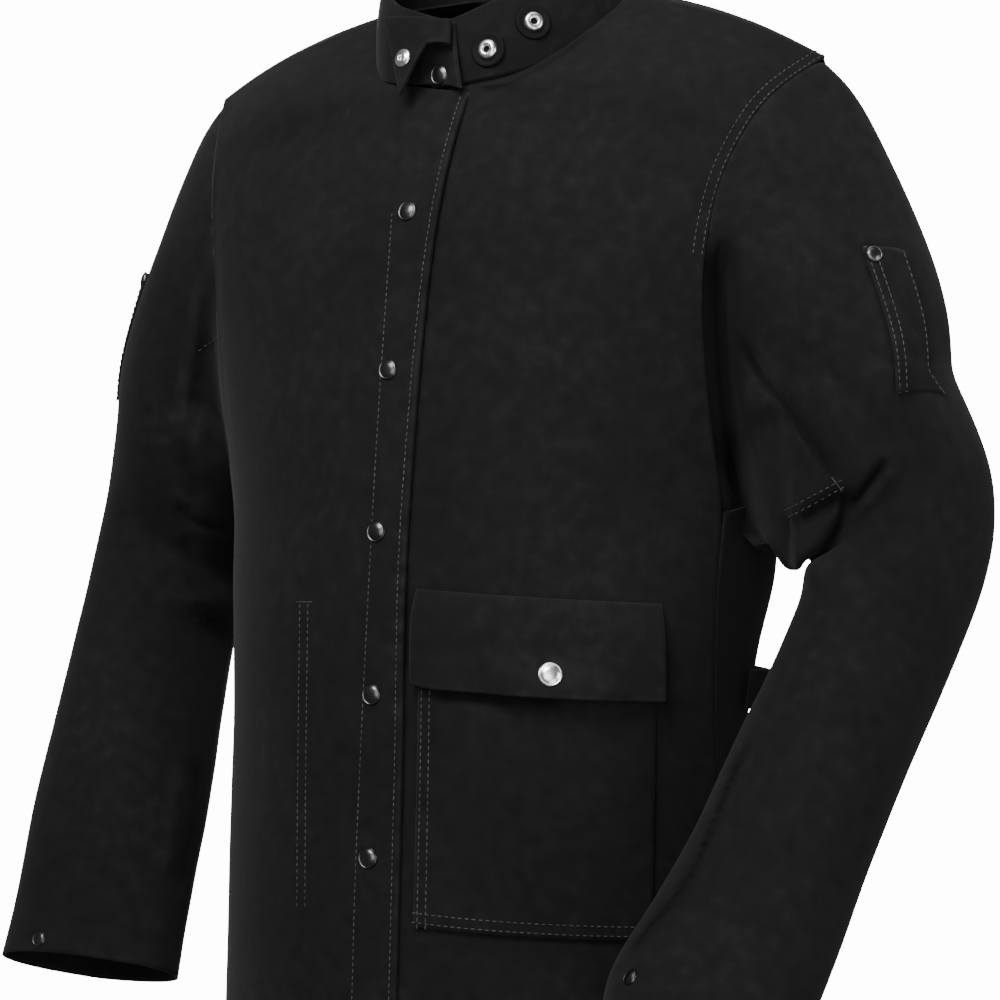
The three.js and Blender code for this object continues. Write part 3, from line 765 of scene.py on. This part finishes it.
for name, limb, spot, reach, height in BULGES:
    middle, _ = on_leather(*spot)
    for piece in [piece for piece in rest if part_of(piece) == limb]:
        share, depth = shares_near(rest[piece], middle, reach)
        share *= np.exp(-((depth / SAME_WALL) ** 4))
        rest[piece] = rest[piece] + np.outer(share, towards_camera) * height / MM
    print(name, "at", middle.round(3))
for name, limb, spot, reach, (right, up) in PULLS:
    middle = at_sleeve_depth(*spot)
    move = (np.array(PICTURE_RIGHT) * right + np.array(PICTURE_UP) * up) / MM
    for piece in [piece for piece in rest if limb in (part_of(piece), piece)]:
        share, _ = shares_near(rest[piece], middle, reach)
        rest[piece] = rest[piece] + np.outer(share, move)
    print(name, "at", middle.round(3))
all_panels, panel_owner = surface_tree(rest)

# %% [markdown]
# ## Folds
# The folds that catch the light are read from the picture as short lines. A ray from the camera finds the
# leather that each line lies on. A fold is a smooth ridge, or a valley where its height is below zero, and
# it fades towards its ends. It moves the leather along the line of sight, so it stays where the picture
# shows it. A narrow fold also paints its relief into the colour: shade in a valley, a highlight on a ridge.

# %% Fold lines
# name, points of the picture from end to end, half width in mm, height in mm
PICTURE_FOLDS = [
    # The underarm strip is a deep narrow valley; its painted shade makes the dark strip between trunk and
    # sleeve
    ("underarm strip", [(719, 225), (721, 290), (724, 360), (730, 430), (737, 480), (744, 530)], 9, -19),
    ("gusset crease", [(736, 330), (763, 375), (785, 402), (808, 436), (843, 488)], 3.6, -8),
    ("underarm strip, below", [(726, 430), (735, 470), (745, 505), (753, 530), (760, 545)], 14, -22),
    ("cross seam", [(782, 528), (812, 513), (848, 493)], 4.5, -8),
    ("inner elbow crease", [(847, 486), (842, 520), (824, 550), (800, 582)], 3.6, -7),
    ("elbow crease", [(845, 514), (866, 488), (890, 455)], 3.2, -6),
    ("elbow crease edge", [(857, 516), (876, 492), (896, 466)], 5, 3),
    ("upper arm valley", [(795, 338), (850, 400), (898, 462)], 15, -6),
    ("outer elbow ridge", [(926, 388), (945, 430), (968, 482)], 7, 3),
    ("cap ridge", [(804, 70), (840, 150), (858, 195)], 5, 2),
    ("cap ridge behind", [(826, 120), (856, 170), (876, 205)], 5, 2),
    ("forearm seam", [(754, 736), (738, 771), (693, 871), (644, 937), (634, 955)], 3, -6),
    ("forearm slack", [(880, 560), (850, 640), (800, 730)], 14, 2.5),
    ("right cap ridge", [(217, 200), (208, 260), (196, 320), (186, 400), (180, 445)], 6, 5),
    ("right gusset valley", [(222, 350), (216, 400), (212, 460)], 9, -2.5),
    ("right cross seam", [(196, 355), (216, 341), (234, 326)], 3, -3),
    ("right elbow fill", [(204, 400), (208, 460), (213, 530), (216, 590), (216, 640)], 26, 19),
    ("right arm valley", [(178, 432), (190, 470), (203, 508)], 8, -3),
    ("right elbow ridge", [(174, 490), (190, 508), (236, 521)], 4, 2.5),
    ("right elbow crease", [(178, 502), (192, 520), (234, 534)], 4, -2.5),
    ("right forearm valley", [(184, 532), (192, 565), (203, 600)], 8, -2.5),
    ("right forearm hollow", [(197, 750), (188, 830), (175, 900)], 5, -5),
    ("right forearm ridge", [(182, 760), (173, 830), (160, 900)], 7, 3),
    ("throat crease", [(403, 92), (399, 120), (397, 150)], 3.5, -2.5),
    ("throat recess", [(424, 62), (438, 70), (450, 82)], 8, -3),
    ("collar groove", [(468, 88), (503, 87), (552, 62), (617, 16)], 2.6, -2.5),
]

# The edges of the placket and the flap stand off what they cover. The narrow groove below the flap paints
# shade on the pocket, which stands for the flap's cast shadow
PLACKET_EDGE = [(462, 96), (452, 140), (438, 205), (414, 380), (400, 540), (397, 700), (393, 995)]
ARMHOLE_EDGE = [(223, 90), (218, 140), (215, 200), (216, 270), (219, 330), (226, 400), (234, 470)]

# piece, points of the picture, half width and height in mm
EDGE_LIFTS = [
    ("right_front", PLACKET_EDGE, 6, 2.5),
    ("chest_pocket_flap", [(385, 683), (415, 685), (480, 690), (560, 693), (640, 697), (700, 699)], 20, 8),
    # Painted shadow of the flap on the pocket, through the groove's valley shade
    ("chest_pocket", [(420, 693), (500, 699), (580, 703), (672, 711)], 4.5, -4),
    ("right_front", ARMHOLE_EDGE, 4, -2.5),
]
print("folds:", len(PICTURE_FOLDS), "and edges:", len(EDGE_LIFTS))

# %% Fold the leather
FOLD_STEPS = 40
FOLD_REACH = 3
BROAD = 13
FADE = 0.22


def fold_heights(line, half_width, height, points, out):
    """How far a fold along a line moves each point."""
    reach = FOLD_REACH * half_width
    low = line.min(0) - reach
    high = line.max(0) + reach
    near = np.flatnonzero(((points > low) & (points < high)).all(1))
    heights = np.zeros(len(points))
    if not len(near):
        return heights
    nearest, _ = nearest_on(line, points[near])
    off = points[near] - line[nearest]
    rise = np.sum(off * out[near], axis=1)
    aside = np.linalg.norm(off - rise[:, None] * out[near], axis=1)
    share = nearest / (len(line) - 1)
    fade = np.clip(np.minimum(share, 1 - share) / FADE, 0, 1)
    fade = fade * fade * (3 - 2 * fade)
    same_wall = np.abs(rise) < reach
    heights[near] = height * np.exp(-((aside / half_width) ** 2)) * fade * same_wall
    return heights


heights = {name: np.zeros(len(points)) for name, points in rest.items()}
moves = {name: np.zeros_like(points) for name, points in rest.items()}


def fold_piece(piece, line, half_width, height):
    """Folds one piece along a line, by a half width and a height in mm."""
    sight = np.tile(towards_camera, (len(rest[piece]), 1))
    rise = fold_heights(line, half_width / MM, height / MM, rest[piece], sight)
    # A narrow fold's height also goes into the colour: painted shade in its valley, a painted highlight on
    # its ridge
    if half_width < BROAD:
        heights[piece] += rise
    moves[piece] += rise[:, None] * towards_camera


for name, spots, half_width, height in PICTURE_FOLDS:
    hits = [on_leather(*spot) for spot in spots]
    found = [spot for spot, owner in hits if spot is not None]
    limbs = [part_of(owner) for spot, owner in hits if owner is not None]
    limb = max(set(limbs), key=limbs.count)
    line = smooth_line([spot for spot, owner in hits if owner and part_of(owner) == limb], FOLD_STEPS)
    for piece in rest:
        if part_of(piece) == limb:
            fold_piece(piece, line, half_width, height)
    print(name, "on", limb, len(found), "of", len(spots))
for piece, spots, half_width, height in EDGE_LIFTS:
    hits = [on_leather(*spot) for spot in spots]
    line = smooth_line([spot for spot, owner in hits if owner == piece], FOLD_STEPS)
    fold_piece(piece, line, half_width, height)
    print("edge of", piece, "lifted", height, "mm")

# %% [markdown]
# ## Slack
# Thick leather never lies quite even. Two sizes of smooth noise push it a millimetre or two, more on the
# sleeves, where it is looser. The noise follows the place in space, so neighbouring panels move alike.

# %% Slack
# limb, size of the waves in metres, height in mm
SLACK = [("trunk", 0.17, 1.6), ("trunk", 0.06, 0.35), ("left", 0.11, 2.2), ("left", 0.05, 0.6),
         ("right", 0.11, 2.2), ("right", 0.05, 0.6)]

# A sewn pocket lies close to its sleeve: piece, move in metres
SINK = [("left_sleeve_pocket", -0.001), ("right_sleeve_pocket", -0.002)]


def waves(points, size):
    """Smooth noise between about -1 and 1 at each point."""
    return np.array([noise.noise(Vector(point) / size) for point in points])


for limb, size, height in SLACK:
    for name, points in rest.items():
        if part_of(name) == limb:
            rise = waves(points, size) * height / MM
            # The waves' heights also paint a little shade into hollows and a highlight onto rises
            heights[name] += rise
            moves[name] += rise[:, None] * outward[name]
for name, sink in SINK:
    moves[name] += outward[name] * sink
final = {name: points + moves[name] for name, points in rest.items()}
print("largest move in mm:", {name: round(MM * np.abs(rise).max(), 1) for name, rise in heights.items()})

# %% [markdown]
# ## Leather pieces
# Each folded panel becomes an object that stands for its nodes of the frame. It carries a value for its
# colour: a little grey along the cut edges, which rub there, a painted highlight on ridges and painted shade
# in the valleys.

# %% Leather pieces
CUT_EDGE_TURN = math.radians(50)
EDGE_WEAR = 0.16
EDGE_REACH = 0.0025
# Painted highlight on ridges and painted shade in valleys, per metre of fold height
RIDGE_HIGHLIGHT = 25
VALLEY_SHADE = 95


def wear_and_light_of(name, mesh):
    """How worn each point is at the cut edges, plus a painted highlight on ridges and painted shade in
    valleys.
    """
    rim = np.array([vert for edge in mesh.edges if edge.use_seam for vert in edge.vertices])
    _, away = nearest_on(final[name][np.unique(rim)], final[name])
    # Painted light from the relief: ridges lightened as a painted highlight, valleys darkened as painted
    # shade
    tone_shift = np.where(heights[name] > 0, RIDGE_HIGHLIGHT, VALLEY_SHADE) * heights[name]
    return EDGE_WEAR * np.exp(-((away / EDGE_REACH) ** 2)) + tone_shift


def dressed(name, mesh, material):
    """A finished piece that goes with the jacket's one body."""
    mesh.materials.clear()
    mesh.materials.append(material)
    mesh.polygons.foreach_set("use_smooth", [True] * len(mesh.polygons))
    piece = bpy.data.objects.new(name, mesh)
    bpy.context.scene.collection.objects.link(piece)
    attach(piece, "root")
    return piece


leather = {}
for name, mesh in panels.items():
    mesh.vertices.foreach_set("co", final[name].ravel())
    # The attribute holds rubbed cut edges, a painted highlight on ridges and painted shade in valleys
    mesh.attributes.new("wear", "FLOAT", "POINT").data.foreach_set("value", wear_and_light_of(name, mesh))
    leather[name] = dressed(name + "_leather", mesh, suede)
    mesh.set_sharp_from_angle(angle=CUT_EDGE_TURN)
    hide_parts(*stands_for[name])
print("leather pieces:", len(leather))

# %% [markdown]
# ## Stitching
# The jacket is sewn with thick grey thread, and each stitch is a short bead between two holes. A stitch is a
# small ball pulled long. Most rows follow a cut edge: the rim of each panel is split at its corners into
# sides, and a row runs beside one of them at a given distance. Other rows follow a line of points.

# %% Sides of a panel
SIDE_CORNER = math.radians(45)


def outer_faces(bm, out):
    """The faces on the outside of a panel: the part between cut edges that faces outwards most."""
    best, best_facing = set(), 0
    left = set(bm.faces)
    while left:
        first = left.pop()
        part = {first}
        waiting = [first]
        while waiting:
            face = waiting.pop()
            for edge in face.edges:
                for other in edge.link_faces:
                    if not edge.seam and other in left:
                        left.discard(other)
                        part.add(other)
                        waiting.append(other)
        facing = sum(face.calc_area() * face.normal.dot(out[face.verts[0].index]) for face in part)
        if facing > best_facing:
            best, best_facing = part, facing
    return best


def rim_loops(name):
    """The outer cut edge of a panel as closed loops of points, each with the way into the panel."""
    bm = bmesh.new()
    bm.from_mesh(panels[name])
    bm.verts.ensure_lookup_table()
    bm.normal_update()
    outside = outer_faces(bm, [Vector(direction) for direction in outward[name]])
    after = {}
    inward = {}
    for edge in bm.edges:
        if not edge.seam:
            continue
        for loop in edge.link_loops:
            if loop.face in outside:
                start, end = loop.vert, loop.link_loop_next.vert
                after[start.index] = end.index
                inward[start.index] = loop.face.normal.cross((end.co - start.co).normalized())
    loops = []
    left = set(after)
    while left:
        first = left.pop()
        chain = [first]
        while after.get(chain[-1]) in left:
            chain.append(after[chain[-1]])
            left.discard(chain[-1])
        points = np.array([bm.verts[index].co for index in chain])
        loops.append((points, unit(np.array([inward[index] for index in chain]))))
    bm.free()
    return loops


def sides_of(name):
    """The sides of a panel between its corners."""
    sides = []
    for points, into in rim_loops(name):
        runs = unit(np.roll(points, -1, 0) - points)
        turns = np.arccos(np.clip(np.sum(runs * np.roll(runs, 1, 0), axis=1), -1, 1))
        corners = np.flatnonzero(turns > SIDE_CORNER)
        if len(corners) == 0:
            sides.append((points, into))
            continue
        for corner, following in zip(corners, np.roll(corners, -1)):
            length = (following - corner) % len(points) or len(points)
            order = (corner + np.arange(length + 1)) % len(points)
            way = into[order]
            way[-1] = way[-2]
            sides.append((points[order], way))
    return sides


panel_sides = {name: sides_of(name) for name in panels}
print("sides:", {name: len(sides) for name, sides in panel_sides.items()})

# %% [markdown]
# ## Thread
# The thread is spun from several strands, so it has a fine slanting twist. It is grey beside the black
# leather, a little uneven where the nap lies over it.

# %% Thread
THREAD_DARK = 0.012
THREAD_LIGHT = 0.06
STRAND_SCALE = 900
RUB_SCALE = 45
STRAND_SHARE = 0.5
RUB_SHARE = 0.9
THREAD_DROP = 0.2
STRAND_STRENGTH = 0.6
STRAND_DEPTH = 0.0003


def thread_finish(name):
    """Grey spun thread."""
    material, start = new_material(name)
    strands = object_noise(start, STRAND_SCALE, detail=2)
    tone_shift = object_noise(start, RUB_SCALE, detail=3)
    tone = strands * STRAND_SHARE + tone_shift * RUB_SHARE - THREAD_DROP
    sockets = {
        "Base Color": grey_ramp(tone, (0.2, THREAD_DARK), (0.8, THREAD_LIGHT)),
        "Roughness": 0.7,
        "Normal": bump_of(strands, STRAND_STRENGTH, STRAND_DEPTH),
        "Specular IOR Level": 0.3,
    }
    end_graph(start, sockets)
    return material


grey_thread = thread_finish("grey_thread")
print("material:", grey_thread.name)

# %% Stitch rows
STITCH_PITCH = 0.0046
TACK_PITCH = 0.0016

# piece, a point near the side of the panel, distances from the edge in mm, lowest and highest point of
# the row in metres
EDGE_ROWS = [
    ("left_front", (0.206, -0.09, -0.18), (2, 8.5), -0.215, 0),
    ("right_front", (0.024, -0.19, -0.45), (5,), -1, -0.09),
    ("back", (0.23, 0.07, -0.2), (4, 10.5), -0.215, 0),
    ("back", (-0.23, 0.07, -0.2), (4, 10.5), -0.215, 0),
    ("chest_pocket", (0.036, -0.19, -0.57), (3, 9.5), -1, -0.5),
    ("chest_pocket", (0.1, -0.17, -0.68), (3, 9.5), -1, 0),
    ("left_sleeve_pocket", (0.28, -0.06, -0.25), (2, 8), -1, -0.208),
    ("left_sleeve_pocket", (0.32, -0.05, -0.31), (2, 8), -1, 0),
    ("left_sleeve_pocket", (0.33, -0.02, -0.25), (2,), -1, -0.208),
    ("right_sleeve_pocket", (-0.28, -0.06, -0.25), (2, 8), -1, -0.208),
    ("right_sleeve_pocket", (-0.32, -0.05, -0.31), (2, 8), -1, 0),
    ("right_sleeve_pocket", (-0.33, -0.02, -0.25), (2,), -1, -0.208),
]

# piece, points of the picture from end to end, pitch of the stitches
PICTURE_ROWS = [
    ("right_front", [(392, 215), (378, 420), (366, 640), (356, 860), (352, 998)], STITCH_PITCH),
    ("right_front", [(300, 606), (298, 760), (297, 905)], STITCH_PITCH),
    ("right_front", [(308, 606), (306, 760), (305, 905)], STITCH_PITCH),
    ("right_front", [(297, 602), (304, 602), (311, 602)], TACK_PITCH),
    ("left_sleeve", [(786, 510), (812, 496), (840, 481)], STITCH_PITCH),
    ("left_sleeve", [(789, 517), (815, 503), (842, 488)], STITCH_PITCH),
    ("left_sleeve", [(833, 479), (837, 484), (841, 490)], TACK_PITCH),
    ("right_sleeve", [(200, 350), (216, 338), (230, 327)], STITCH_PITCH),
]
print("rows along edges:", len(EDGE_ROWS), "and along lines:", len(PICTURE_ROWS))

# %% Sew the rows
STITCH_LENGTH = 0.0033
STITCH_RADIUS = 0.00045
STITCH_RISE = 0.4
STITCH_SIDES = 6
STITCH_RINGS = 4
LINE_STEPS = 120


def even_line(points, count):
    """Points at even steps along a line of straight pieces."""
    points = np.array(points, float)
    lengths = np.linalg.norm(np.diff(points, axis=0), axis=1)
    reach = np.concatenate([[0], np.cumsum(lengths)])
    steps = np.linspace(0, reach[-1], count)
    return np.stack([np.interp(steps, reach, points[:, axis]) for axis in range(3)], 1)


def along_line(points, pitch):
    """The points of a line at an even pitch, with the line's direction at each."""
    lengths = np.linalg.norm(np.diff(points, axis=0), axis=1)
    count = max(2, int(lengths.sum() / pitch))
    spots = even_line(points, count)
    return spots, unit(np.gradient(spots, axis=0))


def sewn_row(name, points, pitch):
    """A row of stitches on a piece along a line, as a mesh."""
    bm = bmesh.new()
    spots, runs = along_line(points, pitch)
    for spot, run in zip(spots, runs):
        place, normal, _, _ = piece_tree[name].find_nearest(spot)
        along = Vector(run)
        along = (along - normal * along.dot(normal)).normalized()
        across = normal.cross(along)
        turn = Matrix((across, normal, along)).transposed().to_4x4()
        size = Matrix.Diagonal((STITCH_RADIUS, STITCH_RADIUS, STITCH_LENGTH / 2, 1))
        at = Matrix.Translation(place + normal * STITCH_RADIUS * STITCH_RISE)
        bmesh.ops.create_uvsphere(
            bm, u_segments=STITCH_SIDES, v_segments=STITCH_RINGS, radius=1, matrix=at @ turn @ size
        )
    mesh = bpy.data.meshes.new("row")
    bm.to_mesh(mesh)
    bm.free()
    return mesh


def picture_line(name, spots):
    """The points of a piece behind a line of the picture."""
    dense = smooth_line([(across, down, 0) for across, down in spots], LINE_STEPS)
    hits = [on_leather(across, down) for across, down, _ in dense]
    return np.array([spot for spot, owner in hits if owner == name])


piece_tree = {name: surface_tree({name: points})[0] for name, points in final.items()}
all_panels, panel_owner = surface_tree(final)
rows = {}
for name, guide, insets, low, high in EDGE_ROWS:
    sides = panel_sides[name]
    points, into = min(sides, key=lambda side: np.linalg.norm(side[0] - np.array(guide), axis=1).min())
    kept = (points[:, 2] > low) & (points[:, 2] < high)
    for inset in insets:
        line = (points + into * inset / MM)[kept]
        rows.setdefault(name, []).append(sewn_row(name, line, STITCH_PITCH))
for name, spots, pitch in PICTURE_ROWS:
    rows.setdefault(name, []).append(sewn_row(name, picture_line(name, spots), pitch))
print("rows sewn:", sum(len(meshes) for meshes in rows.values()))

# %% Stitch pieces
stitched = {}
for name, meshes in rows.items():
    bm = bmesh.new()
    for mesh in meshes:
        bm.from_mesh(mesh)
        bpy.data.meshes.remove(mesh)
    sewn = bpy.data.meshes.new(name + "_stitches")
    bm.to_mesh(sewn)
    bm.free()
    stitched[name] = dressed(name + "_stitches", sewn, grey_thread)
print("stitch triangles:", {name: 2 * len(piece.data.polygons) for name, piece in stitched.items()})

# %% [markdown]
# ## Metal and rubber
# The snaps are dark plated steel with fine wear scratches. The studs are bright nickel. Each stud stands on a
# black washer, dull like hard rubber.

# %% Metal and rubber
SCRATCH_SCALE = 1500
SCRATCH_SHARE = 0.3
SCRATCH_ROUGH = 0.15
SCRATCH_STRENGTH = 0.15
SCRATCH_DEPTH = 0.0002
GRIME_SCALE = 160
GRIME_SHARE = 0.7
DUST_SCALE = 400
DUST_ROUGH = 0.3
RUBBER_ROUGH = 0.6
RUBBER_DARK = 0.001
RUBBER_DUSTY = 0.004


def metal_finish(name, dark, light, rough):
    """Plated metal with fine scratches and a little grime."""
    material, start = new_material(name)
    scratches = object_noise(start, SCRATCH_SCALE, detail=4)
    grime = object_noise(start, GRIME_SCALE, detail=3)
    tone = grime * GRIME_SHARE + scratches * SCRATCH_SHARE
    sockets = {
        "Base Color": grey_ramp(tone, (0.3, dark), (0.7, light)),
        "Metallic": 1.0,
        "Roughness": rough + scratches * SCRATCH_ROUGH,
        "Normal": bump_of(scratches, SCRATCH_STRENGTH, SCRATCH_DEPTH),
    }
    end_graph(start, sockets)
    return material


def rubber_finish(name):
    """Hard black rubber, slightly dusty."""
    material, start = new_material(name)
    dust = object_noise(start, DUST_SCALE, detail=4)
    sockets = {
        "Base Color": grey_ramp(dust, (0.3, RUBBER_DARK), (0.8, RUBBER_DUSTY)),
        "Roughness": RUBBER_ROUGH + dust * DUST_ROUGH,
        "Specular IOR Level": 0.12,
    }
    end_graph(start, sockets)
    return material


FINISHES = {
    "gunmetal": metal_finish("gunmetal", dark=0.05, light=0.09, rough=0.22),
    "nickel": metal_finish("nickel", dark=0.6, light=0.8, rough=0.2),
    "washer": rubber_finish("washer_rubber"),
}
print("materials:", list(FINISHES))

# %% [markdown]
# ## Snaps, studs and washers
# All of these are turned parts, so each is one outline spun round its axis. The outline gives shares of the
# radius: a domed cap with a rolled rim, a hollow post, a flat washer and a socket with its spring ring. The
# frame's node gives the axis and the radius, and the folded leather under it gives the seat.

# %% Outlines
# shares of the radius: away from the axis, and up along it
OUTLINES = {
    "cap": [
        (0, 0.34), (0.3, 0.33), (0.55, 0.28), (0.74, 0.19), (0.82, 0.12),
        (0.86, 0.12), (0.93, 0.17), (0.99, 0.12), (1, -0.12), (0, -0.12),
    ],
    "post": [
        (0.3, -0.1), (0.3, 0.35), (0.38, 0.5), (0.56, 0.55), (0.78, 0.5),
        (0.95, 0.34), (1, 0.12), (1, -0.1),
    ],
    "washer": [(0, 0.07), (0.78, 0.07), (0.86, 0.11), (0.95, 0.1), (1, 0.03), (1, -0.06), (0, -0.06)],
    "socket": [
        (0, 0.02), (0.3, 0.02), (0.36, 0.24), (0.46, 0.3), (0.58, 0.24),
        (0.66, 0.14), (0.9, 0.14), (1, 0.06), (1, -0.08), (0, -0.08),
    ],
}

# The flared cuff carries its snap with it: node, point of the picture
PICTURE_SEATS = {"left_cuff_snap": (630, 977)}

# node, outline, material slot, piece that it is set in
FASTENERS = [
    ("front_snap_1", "cap", "gunmetal", "collar"),
    ("front_snap_2", "cap", "gunmetal", "right_front"),
    ("front_snap_3", "cap", "gunmetal", "right_front"),
    ("front_snap_4", "cap", "gunmetal", "right_front"),
    ("front_snap_5", "cap", "gunmetal", "right_front"),
    ("front_snap_6", "cap", "gunmetal", "right_front"),
    ("flap_snap", "cap", "nickel", "chest_pocket_flap"),
    ("left_cuff_snap", "cap", "gunmetal", "left_sleeve"),
    ("right_cuff_snap", "cap", "gunmetal", "right_sleeve"),
    ("left_sleeve_pocket_snap", "cap", "gunmetal", "left_sleeve_pocket"),
    ("right_sleeve_pocket_snap", "cap", "gunmetal", "right_sleeve_pocket"),
    ("collar_washer_1", "washer", "washer", "collar"),
    ("collar_washer_2", "washer", "washer", "collar"),
    ("collar_stud_1", "post", "nickel", "collar"),
    ("collar_stud_2", "post", "nickel", "collar"),
    ("collar_socket", "socket", "nickel", "collar_tab"),
]
print("outlines:", list(OUTLINES), "for", len(FASTENERS), "fasteners")

# %% Fasteners
SPIN_STEPS = 40
SEAT_REACH = 0.02
SEAT_SHARE = 2
TURNED_EDGE = math.radians(60)


def axis_of(node):
    """The middle of a round node, its outward axis and its radius."""
    points = read_points(nodes[node].data)
    middle = (points.min(0) + points.max(0)) / 2
    _, ways = np.linalg.eigh(np.cov((points - middle).T))
    axis = ways[:, 0]
    if axis.dot(outward_of(node, middle[None])[0]) < 0:
        axis = -axis
    off = points - middle
    radius = np.linalg.norm(off - np.outer(off @ axis, axis), axis=1).max()
    return Vector(middle), Vector(axis), radius


def seat_on(node, piece, middle, axis):
    """Where the leather lies under a fastener, and the way it faces there."""
    if node in PICTURE_SEATS:
        spot, facing, _, _ = piece_tree[piece].ray_cast(camera_place, picture_ray(*PICTURE_SEATS[node]))
    else:
        spot, facing, _, _ = piece_tree[piece].ray_cast(middle + axis * SEAT_REACH, -axis)
    if spot is None:
        spot, facing, _, _ = piece_tree[piece].find_nearest(middle)
    return spot, (axis + facing * SEAT_SHARE).normalized()


def turned(outline, radius, place, axis):
    """A closed outline spun round an axis."""
    bm = bmesh.new()
    verts = [bm.verts.new((across * radius, 0, up * radius)) for across, up in outline]
    edges = [bm.edges.new(pair) for pair in zip(verts, verts[1:])]
    if outline[0][0] > 0:
        edges.append(bm.edges.new((verts[-1], verts[0])))
    bmesh.ops.spin(
        bm,
        geom=verts + edges,
        cent=(0, 0, 0),
        axis=(0, 0, 1),
        angle=math.tau,
        steps=SPIN_STEPS,
        use_merge=True,
    )
    bmesh.ops.remove_doubles(bm, verts=bm.verts, dist=MERGE)
    bmesh.ops.recalc_face_normals(bm, faces=bm.faces)
    turn = axis.to_track_quat("Z", "Y").to_matrix().to_4x4()
    bmesh.ops.transform(bm, matrix=Matrix.Translation(place) @ turn, verts=bm.verts)
    return bm


for node, outline, slot, piece_under in FASTENERS:
    middle, axis, radius = axis_of(node)
    bm = turned(OUTLINES[outline], radius, *seat_on(node, piece_under, middle, axis))
    mesh = bpy.data.meshes.new(node + "_turned")
    bm.to_mesh(mesh)
    bm.free()
    piece = dressed(node + "_turned", mesh, FINISHES[slot])
    mesh.set_sharp_from_angle(angle=TURNED_EDGE)
    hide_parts(node)
    print(node, "radius in mm", round(radius * MM, 1))

# %% [markdown]
# ## Sheets
# Every panel is one sheet of leather. Its flat size is what it was cut to before it was sewn, measured along
# the panel and rounded, so that a simulation could start from it. Each sheet is printed with the area that
# the panel shows.

# %% Sheets
# piece, flat width, length and area in metres, how it is held, what carries it
SHEETS = [
    ("right_front", 0.34, 0.76, 0.2, "hung", ["back"]),
    ("left_front", 0.34, 0.76, 0.2, "hung", ["back"]),
    ("back", 0.66, 0.77, 0.45, "hung", ["collar"]),
    ("left_sleeve", 0.48, 0.72, 0.255, "hung", ["back", "left_front"]),
    ("right_sleeve", 0.48, 0.72, 0.255, "hung", ["back", "right_front"]),
    ("collar", 0.52, 0.09, 0.041, "folded", ["back", "left_front", "right_front"]),
    ("collar_tab", 0.066, 0.07, 0.0022, "folded", ["collar"]),
    ("chest_pocket", 0.17, 0.225, 0.037, "laid", ["left_front"]),
    ("chest_pocket_flap", 0.185, 0.079, 0.013, "hung", ["left_front"]),
    ("left_sleeve_pocket", 0.045, 0.11, 0.0039, "laid", ["left_sleeve"]),
    ("right_sleeve_pocket", 0.045, 0.11, 0.0039, "laid", ["right_sleeve"]),
    ("left_waist_tab", 0.105, 0.034, 0.0034, "laid", ["back"]),
    ("right_waist_tab", 0.105, 0.034, 0.0034, "laid", ["back"]),
]
for name, width, length, area, held, carriers in SHEETS:
    with_it = [stitched[name]] if name in stitched else []
    shown = sum(face.area for face in leather[name].data.polygons) / 2
    print("sheet", name, held, "flat area", area, "shown", round(shown, 4))
